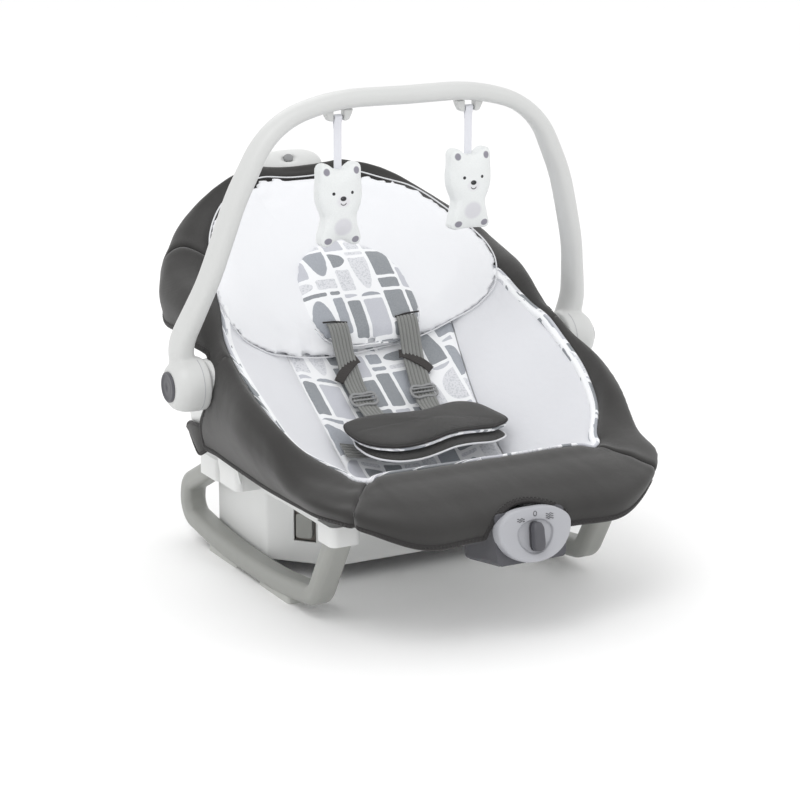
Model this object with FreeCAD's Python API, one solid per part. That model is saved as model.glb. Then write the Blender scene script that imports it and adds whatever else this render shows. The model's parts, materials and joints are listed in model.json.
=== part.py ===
"""Infant bouncer seat: a reclining bucket seat hung between two hubs on a rocker base, with a toy bar.

Millimetres, +Z up, the foot end towards -Y, symmetric about X = 0.  Every piece is drawn with Y
measured from the hub axis, and save() moves it by FOOTPRINT_SHIFT, so that the finished object's
origin is the middle of its footprint, on the surface that it stands on.
"""

import FreeCAD, Part

import math
import os

from FreeCAD import Vector

# ---------------------------------------------------------------- driving dimensions
FOOTPRINT_SHIFT = 37.0   # from the hub axis to the middle of the footprint, along Y
HUB_Z = 234.0            # height of the hub axis
HUB_SEAM_X = 230.5       # inner face of the toy bar's hub drums
HUB_OUTER_X = 271.0      # where the dark caps stand on the drums
DRUM_RADIUS = 30.0
BAR_TILT = 8.0           # the toy bar leans this many degrees towards the foot end
BAR_FOOT_X = 235.0       # half the distance between the bar's two feet
BAR_THICKNESS = 22.0
BOSS_RADIUS = 12.0       # the upright's boss, which the toy bar's drum turns on
PIN_RADIUS = 5.0         # the steel pin that the seat hangs on
RUN_FIT = 0.06           # radial clearance of a turning fit
RECLINE_RANGE = 14.0     # degrees from upright to fully reclined

RUNNER_X = 170.0         # centre of each rocker runner
RUNNER_WIDE = 28.0
RUNNER_DEEP = 23.0
PAD_DEPTH = 3.0          # rubber left between the runners and the floor

HOUSING_HALF = 155.5     # half width of the central housing
HOUSING_BOTTOM = 18.0
HOUSING_TOP = 98.0
CORNER_WIDE = 57.0       # the housing's slanted front corners: across, and from front to back
CORNER_DEEP = 62.0
WALL = 3.0

SHELL_WALL = 3.5
PAD_THICK = 11.0         # the liner's thickness, measured straight down
LAYER_GAP = 1.2          # air between the liner and the shell
PAD_GAP = 2.4            # air under each loose pad
COVER_THICK = 3.0        # the surround: fabric and thin foam
TUBE_RADIUS = 5.0        # the steel rim inside the surround

FLOOR_LINE = [           # top of the liner on the centre line: (y, z)
    (-222, 160), (-190, 130), (-160, 112), (-130, 110), (-97, 122), (-62, 146), (-18, 182),
    (20, 217), (50, 244), (100, 290), (150, 338), (200, 386), (222, 407),
]
RIM_LINE = [             # the liner's upper edge: (y, half width, z)
    (-222, 140, 162), (-207, 151, 163), (-180, 170, 170), (-150, 186, 186), (-105, 197, 217),
    (-50, 199, 243), (0, 194, 268), (45, 181, 298), (100, 166, 334), (150, 144, 370),
    (175, 122, 388), (200, 88, 402), (213, 58, 410), (222, 34, 414),
]
BOWL_POWER = 2.6         # how late the seat's cross-section turns up towards its rim


# ---------------------------------------------------------------- plain shapes
def between(table, y, column):
    """Straight-line value of a table whose first column is y."""
    if y <= table[0][0]:
        return float(table[0][column])
    for low, high in zip(table, table[1:]):
        if y <= high[0]:
            part = (y - low[0]) / (high[0] - low[0])
            return low[column] + part * (high[column] - low[column])
    return float(table[-1][column])


def seat_height(x, y):
    """Height of the liner's top surface."""
    floor = between(FLOOR_LINE, y, 1)
    rim = between(RIM_LINE, y, 2)
    across = min(abs(x) / between(RIM_LINE, y, 1), 1.1)
    return floor + (rim - floor) * across ** BOWL_POWER


def box(x0, x1, y0, y1, z0, z1):
    return Part.makeBox(x1 - x0, y1 - y0, z1 - z0, Vector(x0, y0, z0))


def rod_x(x0, x1, radius, y=0.0, z=HUB_Z):
    """A cylinder along X."""
    return Part.makeCylinder(radius, x1 - x0, Vector(x0, y, z), Vector(1, 0, 0))


def prism_x(outline, x0, x1):
    """An outline of (y, z) points, carried from x0 to x1."""
    points = [Vector(x0, y, z) for y, z in outline]
    face = Part.Face(Part.makePolygon(points + points[:1]))
    return face.extrude(Vector(x1 - x0, 0, 0))


def prism_z(outline, z0, z1):
    """An outline of (x, y) points, carried from z0 to z1."""
    points = [Vector(x, y, z0) for x, y in outline]
    face = Part.Face(Part.makePolygon(points + points[:1]))
    return face.extrude(Vector(0, 0, z1 - z0))


def mirror(shape):
    """The same piece on the other side of the seat."""
    return shape.mirror(Vector(0, 0, 0), Vector(1, 0, 0))


def pair(shape):
    return Part.makeCompound([shape, mirror(shape)])


def round_edges(shape, radius, wanted):
    """Fillets the edges that wanted(edge) picks."""
    edges = [edge for edge in shape.Edges if wanted(edge)]
    return shape.makeFillet(radius, edges)


def along(axis):
    """Picks the straight edges that run along one axis."""
    def picked(edge):
        if len(edge.Vertexes) != 2:
            return False
        run = edge.Vertexes[1].Point.sub(edge.Vertexes[0].Point)
        return abs(abs(run.dot(axis)) - run.Length) < 1e-6
    return picked


def save(name, shape):
    shape = shape.copy()
    shape.translate(Vector(0, FOOTPRINT_SHIFT, 0))
    if not shape.isValid():
        print("not valid:", name)
    print(f"{name:24s} solids {len(shape.Solids):2d}  volume {shape.Volume / 1000:9.2f} cm3")
    shape.exportStep(f"parts/{name}.step")


def save_sides(name, shape):
    """Left is -X, the side of the seat's own left arm rest seen from the foot end."""
    save(name + "_left", mirror(shape))
    save(name + "_right", shape)


# ---------------------------------------------------------------- lofts and sweeps
def loft(sections, closed=False):
    """A ruled solid through closed sections of points, one after the other."""
    wires = [Part.makePolygon(list(section) + [section[0]]) for section in sections]
    return Part.makeLoft(wires, True, True, closed)


def layer(stations, inner, outer, top, bottom, steps=8):
    """A sheet of padding that follows the seat, from inner(y) to outer(y) in x.

    top and bottom are its heights over the liner's top surface.
    """
    sections = []
    for y in stations:
        low, high = inner(y), outer(y)
        across = [low + (high - low) * i / steps for i in range(steps + 1)]
        upper = [Vector(x, y, seat_height(x, y) + top) for x in across]
        lower = [Vector(x, y, seat_height(x, y) + bottom) for x in reversed(across)]
        sections.append(upper + lower)
    return loft(sections)


def tangent_path(points, radii):
    """A wire of straight runs joined by tangent arcs, one radius for each inner point."""
    edges = []
    start = points[0]
    for before, corner, after, radius in zip(points, points[1:], points[2:], radii):
        back = before.sub(corner).normalize()
        ahead = after.sub(corner).normalize()
        half = back.getAngle(ahead) / 2
        reach = radius / math.tan(half)
        middle_way = back.add(ahead).normalize()
        centre = corner.add(middle_way.multiply(radius / math.sin(half)))
        first = corner.add(Vector(back).multiply(reach))
        last = corner.add(Vector(ahead).multiply(reach))
        middle = centre.add(corner.sub(centre).normalize().multiply(radius))
        if first.sub(start).Length > 0.01:
            edges.append(Part.LineSegment(start, first).toShape())
        edges.append(Part.Arc(first, middle, last).toShape())
        start = last
    edges.append(Part.LineSegment(start, points[-1]).toShape())
    return Part.Wire(edges)


def rounded_section(centre, across, up, wide, deep, corner):
    """A rounded rectangle in the plane of the unit vectors across and up."""
    def point(a, b):
        return centre.add(Vector(across).multiply(a)).add(Vector(up).multiply(b))

    half_w, half_d = wide / 2, deep / 2
    edges = []
    turn = math.sqrt(0.5)
    corners = [(1, 1), (-1, 1), (-1, -1), (1, -1)]
    for i, (sx, sy) in enumerate(corners):
        cx, cy = sx * (half_w - corner), sy * (half_d - corner)
        side = point(cx + sx * corner, cy)
        end = point(cx, cy + sy * corner)
        middle = point(cx + sx * corner * turn, cy + sy * corner * turn)
        arc = (side, middle, end) if i % 2 == 0 else (end, middle, side)
        edges.append(Part.Arc(*arc).toShape())
        nx, ny = corners[(i + 1) % 4]
        far_x, far_y = nx * (half_w - corner), ny * (half_d - corner)
        if i % 2 == 0:
            edges.append(Part.LineSegment(arc[2], point(far_x, far_y + ny * corner)).toShape())
        else:
            edges.append(Part.LineSegment(arc[2], point(far_x + nx * corner, far_y)).toShape())
    return Part.Wire(edges)


def sweep(path, section):
    return path.makePipeShell([section], True, True)


# ---------------------------------------------------------------- rocker base
RUNNER_ROUTE = [         # centre line of a runner: (y, z), from its rear joint round to its front one
    (84, 111), (172, 66), (178, 28), (70, 14.5), (-75, 14.5), (-165, 27), (-212, 106),
]
RUNNER_BENDS = [22, 22, 900, 900, 26]


def runner():
    points = [Vector(RUNNER_X, y, z) for y, z in RUNNER_ROUTE]
    path = tangent_path(points, RUNNER_BENDS)
    start = points[0]
    heading = points[1].sub(start).normalize()
    across = Vector(1, 0, 0)
    up = across.cross(heading).multiply(-1)
    section = rounded_section(start, across, up, RUNNER_WIDE, RUNNER_DEEP, 8.0)
    floor = box(RUNNER_X - 40, RUNNER_X + 40, -300, 300, -20, PAD_DEPTH)
    return sweep(path, section).cut(floor)


def runner_pads(shape):
    """Rubber treads under a runner, one towards each end, flat where they meet the floor."""
    pads = []
    for y0, y1 in ((-108, -30), (30, 108)):
        block = box(RUNNER_X - 10, RUNNER_X + 10, y0, y1, 0, 10)
        block = round_edges(block, 4.0, along(Vector(0, 0, 1)))
        pads.append(block.cut(shape))
    return pads


HOUSING_BACK = 138.0
HOUSING_SCREWS = [(130, 120), (-130, 120), (84, -40), (-84, -40)]
HOUSING_POST = 5.0       # radius of the posts that the housing's screws go up into
WINDOW_CENTRE = Vector(124, -35, 62)     # the latch window in the housing's slanted front corner
WINDOW_TURN = math.degrees(math.atan2(CORNER_DEEP, CORNER_WIDE))


def housing_plan(inset):
    half, front, back = HOUSING_HALF - inset, inset - CORNER_DEEP, HOUSING_BACK - inset
    nose = HOUSING_HALF - CORNER_WIDE - inset / 2
    return [(half, back), (half, inset / 2), (nose, front), (-nose, front), (-half, inset / 2), (-half, back)]


def in_window(shape):
    """Moves a shape drawn at the origin, facing +X, into the right-hand window."""
    shape = shape.copy()
    shape.rotate(Vector(0, 0, 0), Vector(0, 0, 1), WINDOW_TURN - 90)
    shape.translate(WINDOW_CENTRE)
    return shape


def housing():
    """The hollow centre of the base, open underneath."""
    outside = prism_z(housing_plan(0), HOUSING_BOTTOM, HOUSING_TOP)
    outside = round_edges(outside, 9.0, along(Vector(0, 0, 1)))
    inside = prism_z(housing_plan(WALL), HOUSING_BOTTOM - 1, HOUSING_TOP - WALL)
    body = outside.cut(inside)
    window = in_window(box(-12, 12, -13.5, 13.5, -19, 19))
    body = body.cut(window).cut(mirror(window))
    for x, y in HOUSING_SCREWS:
        foot = Vector(x, y, HOUSING_BOTTOM + 3.5)
        post = Part.makeCylinder(HOUSING_POST, HOUSING_TOP - HOUSING_BOTTOM - 6, foot)
        hole = Part.makeCylinder(1.9, 16, Vector(x, y, HOUSING_BOTTOM + 3))
        body = body.fuse(post.cut(hole))
    return body


def housing_cover():
    plate = prism_z(housing_plan(WALL + 0.4), HOUSING_BOTTOM, HOUSING_BOTTOM + 3)
    for x, y in HOUSING_SCREWS:
        plate = plate.cut(Part.makeCylinder(2.4, 5, Vector(x, y, HOUSING_BOTTOM - 1)))
    return plate


def screw(base, axis, head_radius, head, shank_radius, shank):
    """A plain pan-head screw: base is under its head, axis is the way that it points."""
    top = Part.makeCylinder(head_radius, head, base, Vector(axis).multiply(-1))
    return top.fuse(Part.makeCylinder(shank_radius, shank, base, axis))


def housing_screws():
    return Part.makeCompound([
        screw(Vector(x, y, HOUSING_BOTTOM), Vector(0, 0, 1), 4.0, 2.2, 1.85, 17)
        for x, y in HOUSING_SCREWS
    ])


def base_latch():
    """A finger catch that stands in the window, on its way through the housing's wall."""
    face = box(-7, 2.5, -9.5, 9.5, -14, 14)
    face = round_edges(face, 3.0, along(Vector(1, 0, 0)))
    stem = box(-22, -7, -5, 5, -5, 5)
    return in_window(face.fuse(stem))


def latch_spring():
    """The flat steel spring behind a catch."""
    outline = [(-16, -29), (16, -29), (16, -28), (-16, -28)]
    points = [Vector(b, a, -8) for a, b in outline]
    blade = Part.Face(Part.makePolygon(points + points[:1])).extrude(Vector(0, 0, 16))
    return in_window(blade)


RAIL_TOP = 124.0
RAIL_BOTTOM = 110.0
UPRIGHT_INNER = 199.0
UPRIGHT_OUTER = 221.5
UPRIGHT_TOP = 13.5       # the upright ends in a half round of this radius about the hub axis
UPRIGHT_DRAFT = 12.0     # its outer face leans in this many degrees on the way down
FRAME_SCREWS = [(135, -20), (135, 40), (135, 100)]


def side_frame(sockets):
    """A side rail of the base with the upright that carries the hub; the runner's ends sit in it."""
    rail = box(148, 174, -226, 104, RAIL_BOTTOM, RAIL_TOP)
    rear = box(150, 190, 58, 108, HOUSING_TOP, RAIL_TOP)
    rear = round_edges(rear, 6.0, along(Vector(0, 0, 1)))
    bridge = box(168, 203, -26, 26, RAIL_BOTTOM, RAIL_TOP + 16)
    bridge = round_edges(bridge, 8.0, along(Vector(0, 0, 1)))
    shelf = box(112, 159, -40, 110, HOUSING_TOP, HOUSING_TOP + 12)
    collar = box(152, 188, -231, -192, 102, RAIL_TOP)
    collar = round_edges(collar, 8.0, along(Vector(0, 0, 1)))
    outline = [
        (-30, RAIL_BOTTOM), (30, RAIL_BOTTOM), (17, 205), (UPRIGHT_TOP, HUB_Z), (-UPRIGHT_TOP, HUB_Z),
        (-17, 205),
    ]
    upright = prism_x(outline, UPRIGHT_INNER, UPRIGHT_OUTER)
    top = rod_x(UPRIGHT_INNER, UPRIGHT_OUTER, UPRIGHT_TOP)
    slope = prism_z([(UPRIGHT_OUTER, -60), (260, -60), (260, 60), (UPRIGHT_OUTER, 60)], 80, 226)
    slope.rotate(Vector(UPRIGHT_OUTER, 0, 226), Vector(0, 1, 0), UPRIGHT_DRAFT)
    boss = rod_x(UPRIGHT_OUTER, 236.5, BOSS_RADIUS)
    body = upright.fuse(top).cut(slope)
    body = body.fuse([boss, rail, rear, bridge, shelf, collar]).removeSplitter()
    for x, y in FRAME_SCREWS:
        body = body.cut(Part.makeCylinder(2.4, 20, Vector(x, y, HOUSING_TOP - 1)))
    return body.cut(rod_x(190, 240, PIN_RADIUS + 0.02)).cut(sockets)


def frame_screws():
    return Part.makeCompound([
        screw(Vector(x, y, HOUSING_TOP + 12), Vector(0, 0, -1), 4.0, 2.2, 2.35, 11.5)
        for x, y in FRAME_SCREWS
    ])


def pivot_pin():
    """The headed steel pin that the seat's bracket turns on."""
    return rod_x(194.5, 237, PIN_RADIUS).fuse(rod_x(236.5, 238.5, 8.5))


def corner_flap():
    """The folded end of the hem, pinned to the base behind the upright."""
    outline = [(33, 131), (60, 176), (66, 172), (48, 128)]
    return prism_x(outline, 204, 209)


# ---------------------------------------------------------------- seat shell and its frame
SHELL_STATIONS = [-218, -200, -175, -150, -120, -85, -50, -15, 20, 60, 100, 140, 175, 205, 222]


def full_width(y):
    return between(RIM_LINE, y, 1)


def seat_shell():
    low = PAD_THICK + LAYER_GAP + SHELL_WALL
    top = -(PAD_THICK + LAYER_GAP)
    return layer(SHELL_STATIONS, lambda y: 2 - full_width(y), lambda y: full_width(y) - 2, top, -low, 20)


RIM_ROUTE = [            # centre line of the steel rim, right half: (x, y, z), foot end first
    (96, -254, 149), (190, -236, 146), (213, -130, 205), (209, 2, 258), (210, 104, 315),
    (180, 155, 350), (139, 189, 382), (95, 214, 401), (48, 235, 410),
]


def rim_tube():
    """One closed ring of steel tube under the edge of the cover."""
    right = [Vector(x, y, z) for x, y, z in RIM_ROUTE]
    left = [Vector(-x, y, z) for x, y, z in reversed(RIM_ROUTE)]
    ring = right + left
    start = Vector(0, RIM_ROUTE[0][1], RIM_ROUTE[0][2])
    points = [start] + ring + [start]
    radii = [60, 60, 200, 200, 150, 150, 150, 150, 150]
    path = tangent_path(points, radii + radii[::-1])
    section = Part.Wire(Part.makeCircle(TUBE_RADIUS, start, Vector(1, 0, 0)))
    return sweep(path, section)


def pivot_bracket():
    """The steel plate on the side of the shell that hangs on the pin."""
    outline = [(-30, 205), (30, 222), (30, 240), (12, 248), (-12, 248), (-30, 232)]
    plate = prism_x(outline, 196.2, 198.4)
    return plate.cut(rod_x(190, 200, PIN_RADIUS + RUN_FIT))


# ---------------------------------------------------------------- cover
# Each station is (reach, z) for the cover's inner edge, crest, shoulder, widest point and hem.
FRONT_CENTRE = (118, -195)               # the front corner turns about this point (x, y)
BACK_CENTRE = (0, 50)                    # the back turns about this point (x, y)
FRONT_CORNER = {                         # by angle from +X, reach measured from FRONT_CENTRE
    -90: [(21, 167), (52, 166), (92, 154), (121, 130), (118, 114)],
    -50: [(36, 163), (62, 164), (86, 158), (106, 144), (100, 135)],
    -25: [(39, 165), (70, 168), (92, 164), (104, 150), (93, 138)],
    0: [(42, 170), (84, 178), (96, 174), (101, 160), (87, 138)],
}
FLANK = {                                # by y, reach measured from the middle plane
    -150: [(190, 189), (209, 212), (222, 207), (226, 190), (207, 138)],
    -100: [(202, 221), (217, 236), (228, 228), (233.5, 210), (208, 138)],
    -50: [(204, 247), (215, 256), (226, 246), (231, 222), (212, 140)],
    -22: [(203, 262), (212, 268), (222, 257), (228, 232), (213, 142)],
    -14: [(200, 267), (208, 272), (219, 268), (225, 262), (225, 256)],
    42: [(186, 297), (198, 306), (212, 304), (221, 292), (222, 268)],
}
BACK = {                                 # by angle from +X, reach measured from BACK_CENTRE
    0: [(184, 303), (197, 311), (213, 309), (223, 297), (223, 268)],
    15: [(180, 328), (205, 338), (222, 334), (232, 317), (228, 275)],
    30: [(183, 358), (200, 370), (213, 366), (221, 350), (217, 300)],
    45: [(180, 384), (192, 400), (201, 396), (208, 382), (204, 326)],
    60: [(178, 403), (187, 421), (194, 417), (199, 404), (194, 344)],
    73: [(177, 412), (186, 429), (192, 426), (198, 412), (191, 350)],
    79: [(176, 414), (185, 431), (192, 428), (198, 420), (198, 414)],
    90: [(176, 415), (185, 432), (192, 429), (198, 421), (198, 415)],
}


def inset_profile(profile, depth):
    """The profile moved inwards by depth, so that the two together bound a skin."""
    inner = []
    for i, (reach, z) in enumerate(profile):
        before = profile[max(i - 1, 0)]
        after = profile[min(i + 1, len(profile) - 1)]
        run = Vector(after[0] - before[0], after[1] - before[1], 0).normalize()
        inner.append((reach + run.y * depth, z - run.x * depth))
    return inner


def cover_section(centre, angle, profile):
    """A closed section of the cover, standing in the upright plane at angle through centre."""
    way = math.radians(angle)
    ring = profile + inset_profile(profile, COVER_THICK)[::-1]
    return [
        Vector(centre[0] + reach * math.cos(way), centre[1] + reach * math.sin(way), z)
        for reach, z in ring
    ]


def mirror_section(section):
    return [Vector(-point.x, point.y, point.z) for point in section]


def blended(first, second, part):
    """A profile part of the way from first to second."""
    return [(a[0] + (b[0] - a[0]) * part, a[1] + (b[1] - a[1]) * part) for a, b in zip(first, second)]


def front_cover():
    """The panel across the foot end, with an arch over the control unit."""
    corner = cover_section(FRONT_CENTRE, -50.2, FRONT_CORNER[-50])
    end = cover_section(FRONT_CENTRE, -90, FRONT_CORNER[-90])
    centre_profile = FRONT_CORNER[-90]
    arch = [(21, 167), (46, 167), (76, 161), (98, 155), (104, 152)]
    right = [corner, end]
    for x, part in ((60, 0.0), (50, 0.55), (30, 1.0), (0, 1.0)):
        right.append(cover_section((x, FRONT_CENTRE[1]), -90, blended(centre_profile, arch, part)))
    left = [mirror_section(section) for section in reversed(right[:-1])]
    return loft(right + left)


def side_cover():
    sections = [cover_section(FRONT_CENTRE, -49.8, FRONT_CORNER[-50])]
    sections += [cover_section(FRONT_CENTRE, angle, FRONT_CORNER[angle]) for angle in (-25, 0)]
    sections += [cover_section((0, y), 0, FLANK[y]) for y in sorted(FLANK)]
    return loft(sections)


def back_cover():
    right = [cover_section((0, 43), 0, FLANK[42])]
    right += [cover_section(BACK_CENTRE, angle, BACK[angle]) for angle in sorted(BACK)]
    left = [mirror_section(section) for section in reversed(right[:-1])]
    return loft(right + left)


# ---------------------------------------------------------------- padding
PANEL_EDGE = [           # half width of the printed panel between the two wings: (y, half width)
    (-222, 92), (-160, 94), (-97, 98), (-40, 100), (20, 108), (60, 114), (110, 110), (150, 98), (175, 84),
    (200, 60), (213, 36), (222, 18),
]
HEAD_OUTLINE = [         # the padded head support: (y, half width, thickness)
    (26, 60, 5), (34, 168, 9), (50, 176, 15), (80, 170, 17), (110, 158, 17), (145, 138, 16),
    (172, 114, 14), (195, 82, 10), (209, 40, 5),
]
PILLOW_OUTLINE = [       # the small pillow on it: (y, half width, thickness)
    (22, 58, 6), (35, 68, 14), (55, 74, 18), (75, 74, 18), (95, 66, 16), (112, 47, 11), (124, 20, 5),
]


def panel_edge(y):
    return between(PANEL_EDGE, y, 1)


def liner_panel():
    return layer(SHELL_STATIONS, lambda y: 0.5 - panel_edge(y), lambda y: panel_edge(y) - 0.5, 0, -PAD_THICK, 12)


def liner_wing():
    stations = [y for y in SHELL_STATIONS if y < 210]
    return layer(stations, lambda y: panel_edge(y) + 0.5, lambda y: full_width(y) - 2, 0, -PAD_THICK, 8)


def pad_bottom(y, under):
    """Height over the liner at which the next pad up rests."""
    return PAD_GAP + sum(between(outline, y, 2) + PAD_GAP for outline in under)


def pad(outline, under=()):
    """A pad with the given outline, lying on the liner or on the pads under it."""
    sections = []
    steps = 14
    for y, half, thick in outline:
        across = [half * (2 * i / steps - 1) for i in range(steps + 1)]
        low = pad_bottom(y, under)
        upper = [Vector(x, y, seat_height(x, y) + low + thick) for x in across]
        lower = [Vector(x, y, seat_height(x, y) + low) for x in reversed(across)]
        sections.append(upper + lower)
    return loft(sections)


# ---------------------------------------------------------------- harness
STRAP_LINE = [           # centre line of a shoulder strap over the liner: (y, x, lift)
    (-48, 36, 22), (-34, 37, 14), (-18, 39, 9), (4, 42, 9), (14, 43, 13), (21, 44, 21), (30, 44.5, 33),
    (44, 45.5, 41), (56, 47, 43),
]
STRAP_HALF = 13.0
STRAP_THICK = 2.4


def strap_section(y, x, lift, half=STRAP_HALF, thick=STRAP_THICK):
    z = seat_height(x, y) + lift
    return [Vector(x - half, y, z), Vector(x + half, y, z), Vector(x + half, y, z + thick),
            Vector(x - half, y, z + thick)]


def shoulder_strap():
    return loft([strap_section(y, x, lift) for y, x, lift in STRAP_LINE])


def strap_clip(y, x, lift, half_long, thick, over):
    """A flat frame round a shoulder strap, its hole clear of the webbing."""
    z = seat_height(x, y) + lift + STRAP_THICK / 2
    tilt = math.degrees(math.atan2(
        seat_height(x, y + 10) - seat_height(x, y - 10), 20))
    outer = box(-STRAP_HALF - over, STRAP_HALF + over, -half_long, half_long, -thick, thick)
    slot = box(-STRAP_HALF - 1, STRAP_HALF + 1, -half_long - 1, half_long + 1, -3.2, 3.2)
    ring = outer.cut(slot)
    ring.rotate(Vector(0, 0, 0), Vector(1, 0, 0), tilt)
    ring.translate(Vector(x, y, z))
    return ring


BUCKLE = Vector(0, -76, 0)
BUCKLE_LIFT = 19.0
BUCKLE_TILT = 30.0


def at_buckle(shape):
    shape = shape.copy()
    shape.rotate(Vector(0, 0, 0), Vector(1, 0, 0), BUCKLE_TILT)
    shape.translate(Vector(BUCKLE.x, BUCKLE.y, seat_height(0, BUCKLE.y) + BUCKLE_LIFT))
    return shape


def buckle_body():
    """A hollow buckle: side slots for the two tongues and a well for the release button."""
    body = box(-24, 24, -20, 20, -6, 6)
    body = round_edges(body, 7.0, along(Vector(0, 0, 1)))
    slots = box(-25, 25, -4, 14, -2, 2)
    well = Part.makeCylinder(9.3, 10, Vector(0, 0, -3))
    return at_buckle(body.cut(slots).cut(well))


def buckle_tongue():
    plate = box(11, 36, -3.6, 13.6, -1.6, 1.6)
    bar = box(36, 42, -14, 20, -2.6, 2.6)
    return at_buckle(plate.fuse(bar).cut(box(13.5, 19, 0, 8, -3, 3)))


def buckle_button():
    return at_buckle(Part.makeCylinder(9.2, 5.5, Vector(0, 0, 1.8)))


def crotch_strap():
    stations = [(-132, 4), (-118, 5), (-104, 6.5)]
    return loft([strap_section(y, 0, lift, 14.0) for y, lift in stations])


def waist_strap():
    """The strap from the side of the liner to the tongue's bar."""
    z = seat_height(0, BUCKLE.y) + BUCKLE_LIFT
    rise = 11 * math.tan(math.radians(BUCKLE_TILT))
    sections = []
    for x, drop in ((43, 0), (60, 2), (80, 0), (94, -3)):
        sections.append([
            Vector(x, BUCKLE.y - 11, z - drop - rise - 1.2), Vector(x, BUCKLE.y + 11, z - drop + rise - 1.2),
            Vector(x, BUCKLE.y + 11, z - drop + rise + 1.2), Vector(x, BUCKLE.y - 11, z - drop - rise + 1.2),
        ])
    return loft(sections)


COVER_PAD = [            # the dark pad over the buckle: (x, y of its rear edge, y of its front edge, z)
    (0, -54, -103, 182), (30, -54, -104, 183), (60, -57, -104, 180), (82, -62, -103, 177), (95, -74, -98, 175),
]
COVER_PAD_THICK = 6.0
COVER_PAD_FALL = 9.0     # it slopes down by this much on either side of its middle


def buckle_cover_pad():
    right = []
    for x, rear, front, z in COVER_PAD:
        low = z - COVER_PAD_FALL
        high = z + COVER_PAD_FALL
        right.append([Vector(x, rear, high), Vector(x, front, low),
                      Vector(x, front, low + COVER_PAD_THICK), Vector(x, rear, high + COVER_PAD_THICK)])
    left = [mirror_section(section) for section in reversed(right[1:])]
    return loft(left + right)


# ---------------------------------------------------------------- vibration unit
UNIT_FRONT_Y = -327.0
UNIT_Z = 117.0
UNIT_TILT = 9.0


def at_unit(shape):
    """Moves a shape drawn facing -Y about the origin to the control unit's face."""
    shape = shape.copy()
    shape.rotate(Vector(0, 0, 0), Vector(1, 0, 0), -UNIT_TILT)
    shape.translate(Vector(0, UNIT_FRONT_Y, UNIT_Z))
    return shape


def pick_outline(grow=0.0):
    """A rounded, downward-pointing pick shape: wide at the top, narrow at the bottom."""
    half, top, bottom = 47.0 + grow, 29.0 + grow, -33.0 - grow
    points = [(0, top), (half * 0.62, top * 0.86), (half * 0.95, top * 0.42), (half * 0.93, -2),
              (half * 0.68, bottom * 0.62), (half * 0.34, bottom * 0.93), (0, bottom)]
    left = [(-x, z) for x, z in reversed(points[1:-1])]
    curve = Part.BSplineCurve()
    curve.interpolate([Vector(x, 0, z) for x, z in points + left], PeriodicFlag=True)
    return Part.Wire(curve.toShape())


def pick(y0, y1, grow=0.0):
    face = Part.Face(pick_outline(grow))
    face.translate(Vector(0, y0, 0))
    return face.extrude(Vector(0, y1 - y0, 0))


def unit_bezel():
    shell = pick(-4, 6)
    dish = Part.makeCylinder(21, 5, Vector(0, -6, -2), Vector(0, 1, 0))
    hole = Part.makeCylinder(6.1, 20, Vector(0, -10, -2), Vector(0, 1, 0))
    return at_unit(shell.cut(dish).cut(hole))


def unit_knob():
    """The finger bar and its shaft, turning in the bezel."""
    base = Part.makeCylinder(18, 2.2, Vector(0, -3.8, -2), Vector(0, 1, 0))
    grip = box(-6.5, 6.5, -14, -3, -19, 15)
    grip = round_edges(grip, 5.5, along(Vector(0, 1, 0)))
    shaft = Part.makeCylinder(6.0, 14, Vector(0, -2, -2), Vector(0, 1, 0))
    return at_unit(base.fuse([grip, shaft]))


def unit_housing():
    """The box behind the bezel, with an arm back to the shell's front lip."""
    case = box(-42, 42, 6.5, 76, -30, 25)
    case = round_edges(case, 6.0, along(Vector(0, 1, 0)))
    room = box(-39, 39, 9.5, 73, -31, 22)
    front_hole = Part.makeCylinder(6.6, 10, Vector(0, 0, -2), Vector(0, 1, 0))
    arm = prism_x([(-256, 122), (-256, 140), (-218.5, 147), (-218.5, 132)], -30, 30)
    boss = Part.makeCylinder(3.6, 12, Vector(0, 69, -27.3))
    hole = Part.makeCylinder(1.55, 9, Vector(0, 69, -28))
    body = at_unit(case.cut(room).cut(front_hole).fuse(boss).cut(hole))
    return body.fuse(arm)


def unit_door():
    door = box(-38.6, 38.6, 9.9, 72.6, -30, -27.5)
    return at_unit(door.cut(Part.makeCylinder(1.6, 5, Vector(0, 69, -31))))


def rotary_switch():
    body = box(-11, 11, 14, 24, -13, 9)
    bore = Part.makeCylinder(6.1, 12, Vector(0, 8, -2), Vector(0, 1, 0))
    return at_unit(body.cut(bore))


def circuit_board():
    return at_unit(box(-30, 30, 25, 26.6, -22, 18))


def motor_can():
    return at_unit(Part.makeCylinder(12, 26, Vector(-34, 52, 8), Vector(1, 0, 0)))


def motor_weight():
    """The half disc that shakes the seat, on its shaft."""
    shaft = Part.makeCylinder(1.5, 14, Vector(-8, 52, 8), Vector(1, 0, 0))
    disc = Part.makeCylinder(10, 8, Vector(-4, 52, 8), Vector(1, 0, 0))
    half = box(-5, 5, 40, 64, 8.5, 20)
    return at_unit(disc.cut(half).fuse(shaft))


def batteries():
    """Two AA cells, side by side across the unit."""
    cells = []
    for y in (37.0, 57.0):
        cell = Part.makeCylinder(7.2, 49, Vector(-25, y, -19), Vector(1, 0, 0))
        nub = Part.makeCylinder(2.7, 1.5, Vector(24, y, -19), Vector(1, 0, 0))
        cells.append(at_unit(cell.fuse(nub)))
    return Part.makeCompound(cells)


def battery_contacts():
    plates = [box(x, x + 0.6, 30, 64, -26, -12) for x in (-26.2, 26.2)]
    return Part.makeCompound([at_unit(plate) for plate in plates])


def door_screw():
    return at_unit(screw(Vector(0, 69, -30), Vector(0, 0, 1), 3.0, 1.6, 1.5, 2.4))


# ---------------------------------------------------------------- recline handle
HANDLE = Vector(0, 256, 430)             # middle of the handle's front face
HANDLE_LEAN = 28.0                       # degrees that the face leans back from upright


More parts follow.
